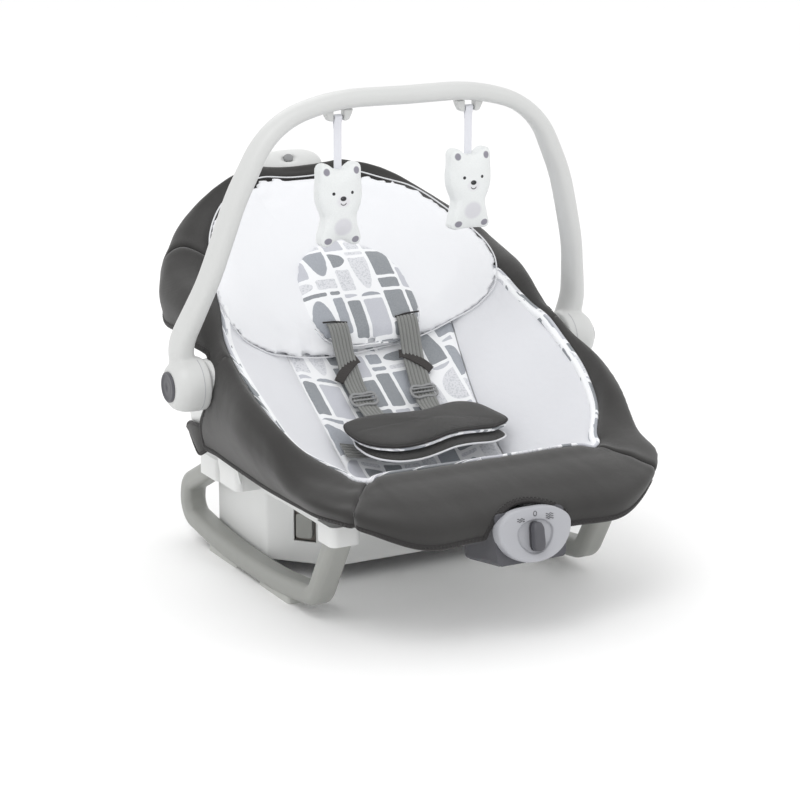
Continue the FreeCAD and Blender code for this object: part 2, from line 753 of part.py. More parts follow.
def at_handle(shape):
    """Moves a shape drawn facing -Y about the origin to the handle's face."""
    shape = shape.copy()
    shape.rotate(Vector(0, 0, 0), Vector(1, 0, 0), -HANDLE_LEAN)
    shape.translate(HANDLE)
    return shape


def recline_handle():
    """The hump behind the head end, rooted in the shell, with a well for its button."""
    outline = [(-42, -10), (-32, 3), (-12, 13), (12, 13), (32, 3), (42, -10), (32, -24), (-32, -24)]
    points = [Vector(x, 0, z) for x, z in outline]
    plate = Part.Face(Part.makePolygon(points + points[:1])).extrude(Vector(0, 9, 0))
    well = Part.makeCylinder(6.1, 8, Vector(0, -1, 0), Vector(0, 1, 0))
    root = prism_x([(223, 384), (262, 402), (262, 412), (252, 407), (223, 396)], -26, 26)
    return at_handle(plate.cut(well)).fuse(root)


def recline_button():
    return at_handle(Part.makeCylinder(6.0, 4.5, Vector(0, -1.5, 0), Vector(0, 1, 0)))


# ---------------------------------------------------------------- toy bar
BAR_ROUTE = [            # centre line of the bar in its own plane, right half: (x, height over hub)
    (235, 0), (244, 62), (206, 210), (167, 291), (92, 316), (0, 315),
]


def on_bar(x, height):
    lean = math.radians(BAR_TILT)
    return Vector(x, -height * math.sin(lean), HUB_Z + height * math.cos(lean))


def toy_bar():
    right = [on_bar(x, height) for x, height in BAR_ROUTE]
    left = [Vector(-p.x, p.y, p.z) for p in right[-2::-1]]
    radii = [260, 240, 95, 240]
    path = tangent_path(right[:-1] + left, radii + radii[::-1])
    start = right[0]
    heading = right[1].sub(start).normalize()
    across = Vector(0, math.cos(math.radians(BAR_TILT)), math.sin(math.radians(BAR_TILT)))
    up = across.cross(heading)
    section = rounded_section(start, across, up, BAR_THICKNESS + 2, BAR_THICKNESS - 1, 9.5)
    tube = sweep(path, section)
    drum = rod_x(HUB_SEAM_X, HUB_OUTER_X, DRUM_RADIUS)
    drum = drum.makeFillet(7.0, [e for e in drum.Edges if e.BoundBox.XMin > HUB_OUTER_X - 1])
    drums = [drum, mirror(drum)]
    hollow = rod_x(200, 240, BOSS_RADIUS + RUN_FIT)
    throat = rod_x(200, HUB_SEAM_X, 40)
    bar = tube.cut([throat, mirror(throat)]).fuse(drums)
    return bar.cut([hollow, mirror(hollow)])


def hub_cap():
    cap = rod_x(HUB_OUTER_X, HUB_OUTER_X + 2.5, 16.0)
    return cap.makeFillet(1.5, [e for e in cap.Edges if e.BoundBox.XMin > HUB_OUTER_X + 2])


TOY_X = 82.0
TOY_BAR_HEIGHT = 309.0   # height of the bar's centre line over the hub at TOY_X
TOY_HOOK_DROP = 17.0     # from there down to the pin that a toy hangs on
TOY_PIN_RADIUS = 2.0
TOY_LOOP_RADIUS = 2.35   # inside of the ribbon's loop
RIBBON_THICK = 1.2
TOY_HOOK = on_bar(TOY_X, TOY_BAR_HEIGHT - TOY_HOOK_DROP)


def toy_bracket():
    """Two small legs under the bar, with the round pin between them that a toy's ribbon hangs on."""
    legs = [box(x, x + 4.5, -4, 4, -3.5, 7) for x in (-11.5, 7)]
    pin = rod_x(-8, 8, TOY_PIN_RADIUS, 0, 0)
    bridge = legs[0].fuse([legs[1], pin])
    bridge.translate(TOY_HOOK)
    return bridge


def toy_ribbon():
    """A sewn loop round the pin, and the tail down to the toy."""
    outer_radius = TOY_LOOP_RADIUS + RIBBON_THICK
    tail = box(-5, 5, -RIBBON_THICK / 2 - 0.3, RIBBON_THICK / 2 + 0.3, -54, -TOY_LOOP_RADIUS - 0.3)
    ribbon = rod_x(-5, 5, outer_radius, 0, 0).fuse(tail).cut(rod_x(-6, 6, TOY_LOOP_RADIUS, 0, 0))
    ribbon.translate(TOY_HOOK)
    return ribbon


def toy_bear():
    """A small stuffed bear, a plain cushion here."""
    body = box(-24, 24, -12, 12, -142, -55)
    body = round_edges(body, 9.0, along(Vector(0, 1, 0)))
    body.translate(TOY_HOOK)
    return body


# ---------------------------------------------------------------- the pieces
os.makedirs("parts", exist_ok=True)

RIGHT_RUNNER = runner()
save_sides("runner", RIGHT_RUNNER)
save("runner_pads", Part.makeCompound([pair(pad) for pad in runner_pads(RIGHT_RUNNER)]))
save("base_housing", housing())
save("base_bottom_cover", housing_cover())
save("housing_screws", housing_screws())
save_sides("base_latch", base_latch())
save("latch_springs", pair(latch_spring()))
save_sides("side_frame", side_frame(RIGHT_RUNNER))
save("frame_screws", pair(frame_screws()))
save("pivot_pins", pair(pivot_pin()))
save("corner_flaps", pair(corner_flap()))

save("seat_shell", seat_shell())
save("rim_tube", rim_tube())
save("pivot_brackets", pair(pivot_bracket()))
save("front_cover", front_cover())
save_sides("side_cover", side_cover())
save("back_cover", back_cover())
save("liner_panel", liner_panel())
save_sides("liner_wing", liner_wing())
save("head_support", pad(HEAD_OUTLINE))
save("head_pillow", pad(PILLOW_OUTLINE, under=[HEAD_OUTLINE]))
save_sides("shoulder_strap", shoulder_strap())
save("strap_adjusters", pair(strap_clip(-18, 39, 9, 5, 4.4, 4)))
save("strap_loops", pair(strap_clip(5, 42.1, 9.2, 4, 4.2, 3)))
save("waist_straps", pair(waist_strap()))
save("crotch_strap", crotch_strap())
save("buckle_body", buckle_body())
save("buckle_tongues", pair(buckle_tongue()))
save("buckle_button", buckle_button())
save("buckle_cover_pad", buckle_cover_pad())

save("control_housing", unit_housing())
save("control_bezel", unit_bezel())
save("vibration_knob", unit_knob())
save("rotary_switch", rotary_switch())
save("circuit_board", circuit_board())
save("motor_can", motor_can())
save("motor_weight", motor_weight())
save("batteries", batteries())
save("battery_contacts", battery_contacts())
save("battery_door", unit_door())
save("battery_door_screw", door_screw())
save("recline_handle", recline_handle())
save("recline_button", recline_button())

save("toy_bar", toy_bar())
save("hub_caps", pair(hub_cap()))
save("toy_brackets", pair(toy_bracket()))
save_sides("toy_ribbon", toy_ribbon())
save_sides("toy_bear", toy_bear())
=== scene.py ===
"""Looks of the infant bouncer seat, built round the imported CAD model.

Tables are in millimetres, with y from the hub axis and z from the floor, as in the part's own
source; placed() turns them into the row frame's metres.
"""

import json
import math

import bmesh
import bpy
import numpy as np
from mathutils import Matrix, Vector


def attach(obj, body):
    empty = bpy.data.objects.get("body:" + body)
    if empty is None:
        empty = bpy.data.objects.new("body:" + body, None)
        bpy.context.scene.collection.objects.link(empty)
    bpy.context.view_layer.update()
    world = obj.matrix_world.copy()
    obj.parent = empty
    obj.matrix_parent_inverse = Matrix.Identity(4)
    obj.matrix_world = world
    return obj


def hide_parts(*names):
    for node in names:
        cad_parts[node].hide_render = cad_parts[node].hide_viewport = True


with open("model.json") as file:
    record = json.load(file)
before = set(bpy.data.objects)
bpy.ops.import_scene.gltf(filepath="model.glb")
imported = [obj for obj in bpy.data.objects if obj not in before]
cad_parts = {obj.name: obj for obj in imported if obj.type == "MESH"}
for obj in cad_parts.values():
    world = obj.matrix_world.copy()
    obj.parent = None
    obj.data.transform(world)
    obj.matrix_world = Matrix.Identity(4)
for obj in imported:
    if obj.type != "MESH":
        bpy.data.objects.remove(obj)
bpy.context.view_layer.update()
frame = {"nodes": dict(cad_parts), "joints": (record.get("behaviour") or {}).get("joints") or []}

MM = 0.001
JOINTS = {joint["name"]: joint for joint in frame["joints"]}
HUB = Vector(JOINTS["seat_recline"]["pos_m"])        # hub axis, in metres
SHIFT = HUB.y / MM                                   # from the hub axis to the frame's origin
HUB_Z = HUB.z / MM

# ---------------------------------------------------------------- the seat's own lines
FLOOR_LINE = [           # top of the liner on the centre line: (y, z)
    (-222, 160), (-190, 130), (-160, 112), (-130, 110), (-97, 122), (-62, 146), (-18, 182),
    (20, 217), (50, 244), (100, 290), (150, 338), (200, 386), (222, 407),
]
RIM_LINE = [             # the liner's upper edge: (y, half width, z)
    (-222, 140, 162), (-207, 151, 163), (-180, 170, 170), (-150, 186, 186), (-105, 197, 217),
    (-50, 199, 243), (0, 194, 268), (45, 181, 298), (100, 166, 334), (150, 144, 370),
    (175, 122, 388), (200, 88, 402), (213, 58, 410), (222, 34, 414),
]
BOWL_POWER = 2.6
PANEL_EDGE = [           # half width of the printed panel: (y, half width)
    (-222, 92), (-160, 94), (-97, 98), (-40, 100), (20, 108), (60, 114), (110, 110), (150, 98),
    (175, 84), (200, 60), (213, 36), (222, 18),
]
SIDES = (("left", -1), ("right", 1))


def unit(vectors):
    """The same vectors, each of length 1."""
    return vectors / np.linalg.norm(vectors, axis=-1, keepdims=True)


def ahead_along(path):
    """The way ahead at each point of a path."""
    return unit(np.gradient(path, axis=0))


def run_along(path):
    """Distance along a path at each of its points."""
    return np.concatenate([[0], np.cumsum(np.linalg.norm(np.diff(path, axis=0), axis=1))])


def swept(line, section, across, above):
    """Rings of an (across, above) section carried along a line."""
    return line[:, None] + section[None, :, :1] * across[:, None] + section[None, :, 1:] * above[:, None]


def smooth(table, at):
    """Smooth values of a table's columns at places of its first column."""
    table = np.array(table, float)
    x, rows = table[:, 0], table[:, 1:]
    at = np.clip(np.asarray(at, float), x[0], x[-1])
    step = np.diff(x)
    secant = np.diff(rows, axis=0) / step[:, None]
    weight = (step[:-1] + step[1:])[:, None]
    middle = (step[1:, None] * secant[:-1] + step[:-1, None] * secant[1:]) / weight
    slope = np.vstack([secant[:1], middle, secant[-1:]])
    i = np.clip(np.searchsorted(x, at) - 1, 0, len(step) - 1)
    t = ((at - x[i]) / step[i])[..., None]
    reach = step[i][..., None]
    stay = (2 * t - 3) * t * t + 1
    return (stay * rows[i] + ((t - 2) * t + 1) * t * reach * slope[i]
            + (1 - stay) * rows[i + 1] + (t - 1) * t * t * reach * slope[i + 1])


def curve_through(points, count, closed=False):
    """Evenly spaced points of a smooth curve through the given ones."""
    points = np.array(points, float)
    if closed:
        points = np.vstack([points[-2:], points, points[:3]])
    along = run_along(points)
    table = np.column_stack([along, points])
    first, last = (along[2], along[-3]) if closed else (along[0], along[-1])
    fine = smooth(table, np.linspace(first, last, count * 8 + 1))
    run = run_along(fine)
    wanted = np.linspace(0, run[-1], count, endpoint=not closed)
    return np.column_stack([np.interp(wanted, run, fine[:, k]) for k in range(fine.shape[1])])


def seat_height(x, y):
    """Height of the liner's top surface."""
    x, y = np.asarray(x, float), np.asarray(y, float)
    floor = smooth(FLOOR_LINE, y)[..., 0]
    rim = smooth(RIM_LINE, y)
    across = np.minimum(np.abs(x) / rim[..., 0], 1.1)
    return floor + (rim[..., 1] - floor) * across ** BOWL_POWER


def full_width(y):
    return smooth(RIM_LINE, y)[..., 0]


def panel_edge(y):
    return smooth(PANEL_EDGE, y)[..., 0]


def on_seat(x, y, lift):
    x, y = np.broadcast_arrays(np.asarray(x, float), np.asarray(y, float))
    return np.stack([x, y, seat_height(x, y) + lift], -1)


def ease(low, high, value):
    t = np.clip((np.asarray(value, float) - low) / (high - low), 0, 1)
    return t * t * (3 - 2 * t)


def ripple(x, y, seed, scale):
    """Soft waves between -1 and 1, the same on every run."""
    draw = np.random.default_rng(seed)
    total = 0.0
    for k in range(6):
        turn, phase = draw.uniform(0, math.pi), draw.uniform(0, 2 * math.pi)
        wave = (0.6 + 0.35 * k) / scale
        along = x * math.cos(turn) + y * math.sin(turn)
        total = total + np.sin(along * wave * 6.28 + phase) / (1 + 0.5 * k)
    return total / 3


# ---------------------------------------------------------------- meshes
def placed(points):
    """Millimetres about the hub's y become metres in the row frame."""
    points = np.asarray(points, float).reshape(-1, 3)
    return (points + (0, SHIFT, 0)) * MM


def make_mesh(name, points, faces, uv=None):
    """A smooth-shaded object; uv gives one pair of millimetres for each point."""
    mesh = bpy.data.meshes.new(name)
    mesh.from_pydata(placed(points).tolist(), [], [list(face) for face in faces])
    mesh.polygons.foreach_set("use_smooth", [True] * len(mesh.polygons))
    if uv is not None:
        layer = mesh.uv_layers.new(name="flat")
        corner = np.zeros(len(mesh.loops), int)
        mesh.loops.foreach_get("vertex_index", corner)
        pairs = np.asarray(uv, float).reshape(-1, 2)[corner] * MM
        layer.data.foreach_set("uv", pairs.ravel())
    mesh.update()
    obj = bpy.data.objects.new(name, mesh)
    bpy.context.scene.collection.objects.link(obj)
    return obj


def grid_faces(rows, columns, closed=False, start=0):
    faces = []
    for i in range(rows - 1):
        for j in range(columns if closed else columns - 1):
            k = (j + 1) % columns
            face = (i * columns + j, i * columns + k, (i + 1) * columns + k, (i + 1) * columns + j)
            faces.append([start + n for n in face])
    return faces


def lengths(grid, axis):
    """Distance along a grid of points, from its first row or column."""
    step = np.linalg.norm(np.diff(grid, axis=axis), axis=2)
    pad = np.zeros_like(np.take(step, [0], axis=axis))
    return np.cumsum(np.concatenate([pad, step], axis=axis), axis=axis)


def cloth_grid(name, grid, uv=None):
    """An open sheet through a grid of points, with its flat size as UVs."""
    if uv is None:
        uv = np.stack([lengths(grid, 1), lengths(grid, 0)], -1)
    rows, columns = grid.shape[:2]
    return make_mesh(name, grid, grid_faces(rows, columns), uv)


def skin(name, rings, caps=True, uv=None):
    """A closed skin over rings of points, one after the other."""
    rings = np.asarray(rings, float)
    rows, columns = rings.shape[:2]
    faces = grid_faces(rows, columns, closed=True)
    if caps:
        faces.append(list(range(columns))[::-1])
        faces.append([(rows - 1) * columns + j for j in range(columns)])
    if uv is None:
        uv = np.stack([lengths(rings, 1), lengths(rings, 0)], -1)
    return make_mesh(name, rings, faces, uv)


def fix_normals(obj):
    work = bmesh.new()
    work.from_mesh(obj.data)
    bmesh.ops.recalc_face_normals(work, faces=work.faces)
    work.to_mesh(obj.data)
    work.free()
    return obj


def joined(name, parts):
    """Several meshes as one object; they keep their materials."""
    bpy.ops.object.select_all(action="DESELECT")
    for part in parts:
        part.select_set(True)
    bpy.context.view_layer.objects.active = parts[0]
    bpy.ops.object.join()
    parts[0].name = name
    parts[0].data.name = name
    return parts[0]


def applied(obj):
    """The object's mesh with its modifiers worked in."""
    depsgraph = bpy.context.evaluated_depsgraph_get()
    mesh = bpy.data.meshes.new_from_object(obj.evaluated_get(depsgraph), depsgraph=depsgraph)
    obj.modifiers.clear()
    obj.data = mesh
    return obj


def smooth_shaded(obj):
    obj.data.polygons.foreach_set("use_smooth", [True] * len(obj.data.polygons))


def remeshed(obj, voxel):
    """The object's skin made again from small cubes, voxel millimetres wide."""
    remesh = obj.modifiers.new("remesh", "REMESH")
    remesh.mode = "VOXEL"
    remesh.voxel_size = voxel * MM
    return applied(obj)


def softened(obj, factor, times, group=""):
    smoothing = obj.modifiers.new("smoothing", "SMOOTH")
    smoothing.factor = factor
    smoothing.iterations = times
    smoothing.vertex_group = group
    return applied(obj)


def thicken(obj, thick):
    """Gives a sheet its thickness, on the inner side."""
    solid = obj.modifiers.new("thickness", "SOLIDIFY")
    solid.thickness = thick * MM
    solid.offset = -1.0
    return obj


def rounded(obj, width, segments=3):
    bevel = obj.modifiers.new("rounding", "BEVEL")
    bevel.width = width * MM
    bevel.segments = segments
    bevel.limit_method = "ANGLE"
    bevel.angle_limit = math.radians(32)
    bevel.harden_normals = True
    return obj


def subdivided(obj, levels=1):
    surface = obj.modifiers.new("subdivision", "SUBSURF")
    surface.levels = levels
    surface.render_levels = levels
    return obj


def frames_along(path, up=None):
    """Two unit vectors across a path that turn as little as they can along it."""
    path = np.asarray(path, float)
    ahead = ahead_along(path)
    side = np.cross(ahead[0], (0, 0, 1) if up is None else up)
    if np.linalg.norm(side) < 1e-3:
        side = np.cross(ahead[0], (0, 1, 0))
    sides = []
    for way in ahead:
        side = side - way * side.dot(way)
        side = side / np.linalg.norm(side)
        sides.append(side)
    sides = np.array(sides)
    return sides, np.cross(sides, ahead)


def tube(name, path, section, closed=False, up=None):
    """A section of (across, above) points carried along a path; section may change along it."""
    path = np.asarray(path, float)
    if closed:
        path = np.vstack([path, path[:1]])
    side, above = frames_along(path, up)
    section = np.asarray(section, float)
    if section.ndim == 2:
        section = np.repeat(section[None], len(path), 0)
    rings = path[:, None] + section[..., :1] * side[:, None] + section[..., 1:] * above[:, None]
    return skin(name, rings, caps=not closed)


def oval(wide, deep, count=10, power=1.0):
    """A rounded section; a power under 1 makes it squarer."""
    turn = np.arange(count) / count * 2 * math.pi
    c, s = np.cos(turn), np.sin(turn)
    return np.column_stack([
        wide / 2 * np.sign(c) * np.abs(c) ** power, deep / 2 * np.sign(s) * np.abs(s) ** power])


# ---------------------------------------------------------------- materials
def rgb(code):
    """A colour as four linear numbers, from its usual six hex digits."""
    parts = [int(code[i:i + 2], 16) / 255 for i in (0, 2, 4)]
    return [p / 12.92 if p <= 0.04045 else ((p + 0.055) / 1.055) ** 2.4 for p in parts] + [1.0]


class Num:
    """A number inside a material; arithmetic on it adds Math nodes."""

    def __init__(self, tree, source):
        self.tree, self.source = tree, source

    def math(self, operation, *others, clamp=False):
        node = self.tree.nodes.new("ShaderNodeMath")
        node.operation = operation
        node.use_clamp = clamp
        for socket, value in zip(node.inputs, (self, *others)):
            if isinstance(value, Num):
                self.tree.links.new(value.source, socket)
            else:
                socket.default_value = value
        return Num(self.tree, node.outputs[0])

    def __add__(self, other):
        return self.math("ADD", other)

    def __sub__(self, other):
        return self.math("SUBTRACT", other)

    def __mul__(self, other):
        return self.math("MULTIPLY", other)

    def __truediv__(self, other):
        return self.math("DIVIDE", other)

    def __rsub__(self, other):
        return self.math("MULTIPLY", -1.0).math("ADD", other)

    __radd__ = __add__
    __rmul__ = __mul__

    def above(self, level):
        return self.math("GREATER_THAN", level)

    def ramp(self, steep):
        """0 below nothing, 1 above 1 / steep."""
        return self.math("MULTIPLY", steep, clamp=True)

    def pick(self, yes, no):
        """yes where this number is 1, no where it is 0."""
        return (yes - no) * self + no


class Shader:
    """A Principled material, and the few nodes that this scene's finishes are made of."""

    def __init__(self, name, colour, roughness, **sockets):
        self.material = bpy.data.materials.new(name)
        self.material.use_nodes = True
        self.tree = self.material.node_tree
        self.surface = self.tree.nodes["Principled BSDF"]
        self.surface.inputs["Base Color"].default_value = colour
        self.surface.inputs["Roughness"].default_value = roughness
        for key, value in sockets.items():
            self.surface.inputs[key.replace("_", " ")].default_value = value
        self.material.diffuse_color = colour
        self.coordinates = self.tree.nodes.new("ShaderNodeTexCoord")
        self.bumps = []

    def link(self, source, target):
        self.tree.links.new(source, target)

    def num(self, socket):
        return Num(self.tree, socket)

    def uv(self):
        """Flat cloth coordinates, in millimetres."""
        split = self.tree.nodes.new("ShaderNodeSeparateXYZ")
        self.link(self.coordinates.outputs["UV"], split.inputs[0])
        return self.num(split.outputs[0]) * 1000.0, self.num(split.outputs[1]) * 1000.0

    def place(self):
        """The object's own coordinates, in millimetres."""
        split = self.tree.nodes.new("ShaderNodeSeparateXYZ")
        self.link(self.coordinates.outputs["Object"], split.inputs[0])
        return [self.num(socket) * 1000.0 for socket in split.outputs]

    def join(self, *parts):
        node = self.tree.nodes.new("ShaderNodeCombineXYZ")
        for socket, part in zip(node.inputs, parts):
            if isinstance(part, Num):
                self.link(part.source, socket)
            else:
                socket.default_value = part
        return node.outputs[0]

    def noise(self, size, detail=2.0, stretch=None):
        """Noise between 0 and 1, whose blobs are about size millimetres."""
        node = self.tree.nodes.new("ShaderNodeTexNoise")
        node.inputs["Scale"].default_value = 1000.0 / size
        node.inputs["Detail"].default_value = detail
        source = self.coordinates.outputs["Object"]
        if stretch:
            scale = self.tree.nodes.new("ShaderNodeVectorMath")
            scale.operation = "MULTIPLY"
            scale.inputs[1].default_value = stretch
            self.link(source, scale.inputs[0])
            source = scale.outputs[0]
        self.link(source, node.inputs["Vector"])
        return self.num(node.outputs[0])

    def randoms(self, x, y, z=0.0):
        """Three random numbers for one cell."""
        node = self.tree.nodes.new("ShaderNodeTexWhiteNoise")
        node.noise_dimensions = "3D"
        self.link(self.join(x, y, z), node.inputs["Vector"])
        split = self.tree.nodes.new("ShaderNodeSeparateColor")
        self.link(node.outputs["Color"], split.inputs[0])
        return [self.num(socket) for socket in split.outputs]

    def mix(self, factor, low, high):
        """A colour from low to high; each is a socket or four numbers."""
        node = self.tree.nodes.new("ShaderNodeMix")
        node.data_type = "RGBA"
        node.clamp_factor = True
        for socket, value in ((node.inputs[0], factor), (node.inputs[6], low), (node.inputs[7], high)):
            if isinstance(value, Num):
                self.link(value.source, socket)
            elif isinstance(value, bpy.types.NodeSocket):
                self.link(value, socket)
            else:
                socket.default_value = value
        return node.outputs[2]

    def colour(self, socket):
        self.link(socket, self.surface.inputs["Base Color"])

    def rough(self, low, high, amount):
        self.link((amount * (high - low) + low).source, self.surface.inputs["Roughness"])

    def bump(self, height, depth):
        """Adds a bump; height runs from 0 to 1 and depth is in millimetres."""
        node = self.tree.nodes.new("ShaderNodeBump")
        node.inputs["Distance"].default_value = depth * MM
        node.inputs["Strength"].default_value = 1.0
        self.link(height.source, node.inputs["Height"])
        if self.bumps:
            self.link(self.bumps[-1].outputs[0], node.inputs["Normal"])
        self.bumps.append(node)
        self.link(node.outputs[0], self.surface.inputs["Normal"])

    def weave(self, thread, depth, cloth=True):
        """A plain weave: threads over and under each other, thread millimetres apart."""
        if cloth:
            u, v = self.uv()
        else:
            x, y, z = self.place()
            u, v = x + y * 0.37, z + y * 0.71
        turn = 2 * math.pi / (2 * thread)
        across = (u * turn).math("SINE")
        down = (v * turn).math("SINE")
        height = (across * down).math("MULTIPLY_ADD", 0.5, 0.5)
        self.bump(height, depth)
        return height


def shade(code, factor):
    """A colour made lighter or darker."""
    colour = rgb(code)
    return [min(part * factor, 1.0) for part in colour[:3]] + [1.0]


def plastic(name, code, low, high, grain=0.02, mottle=0.05):
    """Moulded plastic: a fine grain, and colour and gloss that vary a little."""
    shader = Shader(name, rgb(code), low)
    broad = shader.noise(60, 3)
    shader.colour(shader.mix(broad, shade(code, 1 - mottle), shade(code, 1 + mottle)))
    shader.rough(low, high, shader.noise(14, 4))
    shader.bump(shader.noise(0.9, 2), grain)
    return shader.material


def cloth(name, code, thread=0.9, depth=0.12, wrinkle=0.35, sheen=0.25, mottle=0.07, flat=True):
    """Woven fabric in one colour."""
    shader = Shader(name, rgb(code), 0.9, Sheen_Weight=sheen, Sheen_Roughness=0.5)
    woven = shader.weave(thread, depth, flat)
    broad = shader.noise(45, 3)
    fibres = shader.noise(1.6, 3)
    tone = broad * 0.55 + fibres * 0.3 + woven * 0.15
    shader.colour(shader.mix(tone, shade(code, 1 - mottle), shade(code, 1 + mottle)))
    shader.rough(0.8, 0.98, fibres)
    shader.bump(shader.noise(16, 3), wrinkle)
    return shader.material


def metal(name, code, roughness):
    shader = Shader(name, rgb(code), roughness, Metallic=1.0)
    streaks = shader.noise(6, 3, stretch=(0.15, 1.0, 1.0))
    shader.rough(roughness, roughness + 0.18, streaks)
    shader.colour(shader.mix(shader.noise(20, 2), shade(code, 0.9), shade(code, 1.05)))
    shader.bump(streaks, 0.01)
    return shader.material


INK_SLATE = "5f666d"
INK_BLUE = "7f858f"
INK_LILAC = "b3b5be"
INK_PALE = "d4d5da"
PRINT_GROUND = "f1f2f4"
CELL_WIDE = 50.0         # one repeat of the print's blocks
CELL_LONG = 60.0


def inside_block(p, q, a, b, kind):
    """1 inside a block of half sizes a and b: a rounded box, or a half disc on one of its sides."""
    corner = 2.6
    over_p = (p.math("ABSOLUTE") - a + corner).math("MAXIMUM", 0.0)
    over_q = (q.math("ABSOLUTE") - b + corner).math("MAXIMUM", 0.0)
    box = corner - (over_p * over_p + over_q * over_q).math("SQRT")
    tall = kind.above(0.5)
    flip = kind.math("MULTIPLY", 4.0).math("FRACT").above(0.5)
    sign = flip * 2.0 - 1.0
    along = tall.pick(p, q) * sign
    across = tall.pick(q, p)
    deep = tall.pick(a, b)
    half = tall.pick(b, a)
    ring_a = (along + deep) / (deep * 2.0)
    ring_b = across / half
    disc = (1.0 - (ring_a * ring_a + ring_b * ring_b).math("SQRT")) * half
    disc = disc.math("MINIMUM", along + deep)
    return box, disc


def print_ink(shader, u, v):
    """The printed blocks: their colour, and how far a point is inside one."""
    wobble_u = shader.noise(9, 1) * 1.6 - 0.8
    wobble_v = shader.noise(7, 1) * 1.6 - 0.8
    u = u + wobble_u
    v = v + wobble_v
    column = (u / CELL_WIDE).math("FLOOR")
    offset, _, _ = shader.randoms(column, 3.0)
    shifted = v / CELL_LONG + offset
    row = shifted.math("FLOOR")
    x = (u / CELL_WIDE).math("FRACT")
    y = shifted.math("FRACT")
    split, _, _ = shader.randoms(column, row, 1.0)
    edge = split * 0.3 + 0.36
    right = x.math("GREATER_THAN", edge)
    wide = right.pick(1.0 - edge, edge)
    from_left = (x - right * edge) / wide
    cut, _, _ = shader.randoms(column + right * 0.37, row, 5.0)
    level = (cut * 2.99).math("FLOOR") * 0.27 + 0.3
    upper = y.math("GREATER_THAN", level)
    tall = upper.pick(1.0 - level, level)
    from_low = (y - upper * level) / tall
    kind, tone, choice = shader.randoms(column + right * 0.37, row + upper * 0.41, 9.0)
    gap = 2.0
    a = wide * (CELL_WIDE / 2) - gap
    b = tall * (CELL_LONG / 2) - gap
    p = (from_left - 0.5) * (wide * CELL_WIDE)
    q = (from_low - 0.5) * (tall * CELL_LONG)
    box, disc = inside_block(p, q, a, b, kind)
    depth = choice.above(0.52).pick(disc, box)
    return tone, depth.ramp(3.0)


def printed(name, offset=(0.0, 0.0), sparse=False):
    """White cloth printed with grey and blue blocks."""
    shader = Shader(name, rgb(PRINT_GROUND), 0.88, Sheen_Weight=0.15)
    u, v = shader.uv()
    tone, ink = print_ink(shader, u + offset[0], v + offset[1])
    if sparse:
        ink = ink * shader.noise(24, 1).above(0.57)
    grain = shader.noise(1.1, 3)
    speck = shader.noise(2.1, 1).math("GREATER_THAN", 0.56)
    pale = shader.mix(speck * 0.8, rgb(INK_PALE), rgb("b4b7bd"))
    colour = shader.mix(tone.above(0.66), shader.mix(tone.above(0.3), rgb(INK_SLATE), rgb(INK_BLUE)), pale)
    colour = shader.mix(tone.above(0.5) * (1.0 - tone.above(0.66)), colour, rgb(INK_LILAC))
    woven = shader.weave(0.8, 0.08)
    light = shader.mix(grain, shade(PRINT_GROUND, 0.97), shade(PRINT_GROUND, 1.02))
    dark = shader.mix(grain * 0.32, colour, rgb(PRINT_GROUND))
    shader.colour(shader.mix(ink * (woven * 0.12 + 0.88), light, dark))
    shader.rough(0.8, 0.96, grain)
    shader.bump(shader.noise(18, 3), 0.5)
    return shader.material


def webbing(name, code):
    """Ribbed webbing: fine lengthwise ribs, painted shade in the grooves, and a crosswise texture."""
    shader = Shader(name, rgb(code), 0.8, Sheen_Weight=0.2)
    u, v = shader.uv()
    ribs = (u * (2 * math.pi / 4.4)).math("COSINE").math("MULTIPLY_ADD", 0.5, 0.5)
    picks = (v * (2 * math.pi / 1.3)).math("SINE").math("MULTIPLY_ADD", 0.5, 0.5)
    fibres = shader.noise(1.2, 3)
    body = shader.mix(fibres, shade(code, 0.86), shade(code, 1.12))
    # the grooves between the ribs are darkened: painted shade
    shader.colour(shader.mix(ribs.math("POWER", 5.0) * 0.72, body, shade(code, 0.42)))
    shader.rough(0.7, 0.92, fibres)
    shader.bump(picks * 0.4 + (1.0 - ribs), 0.25)
    return shader.material


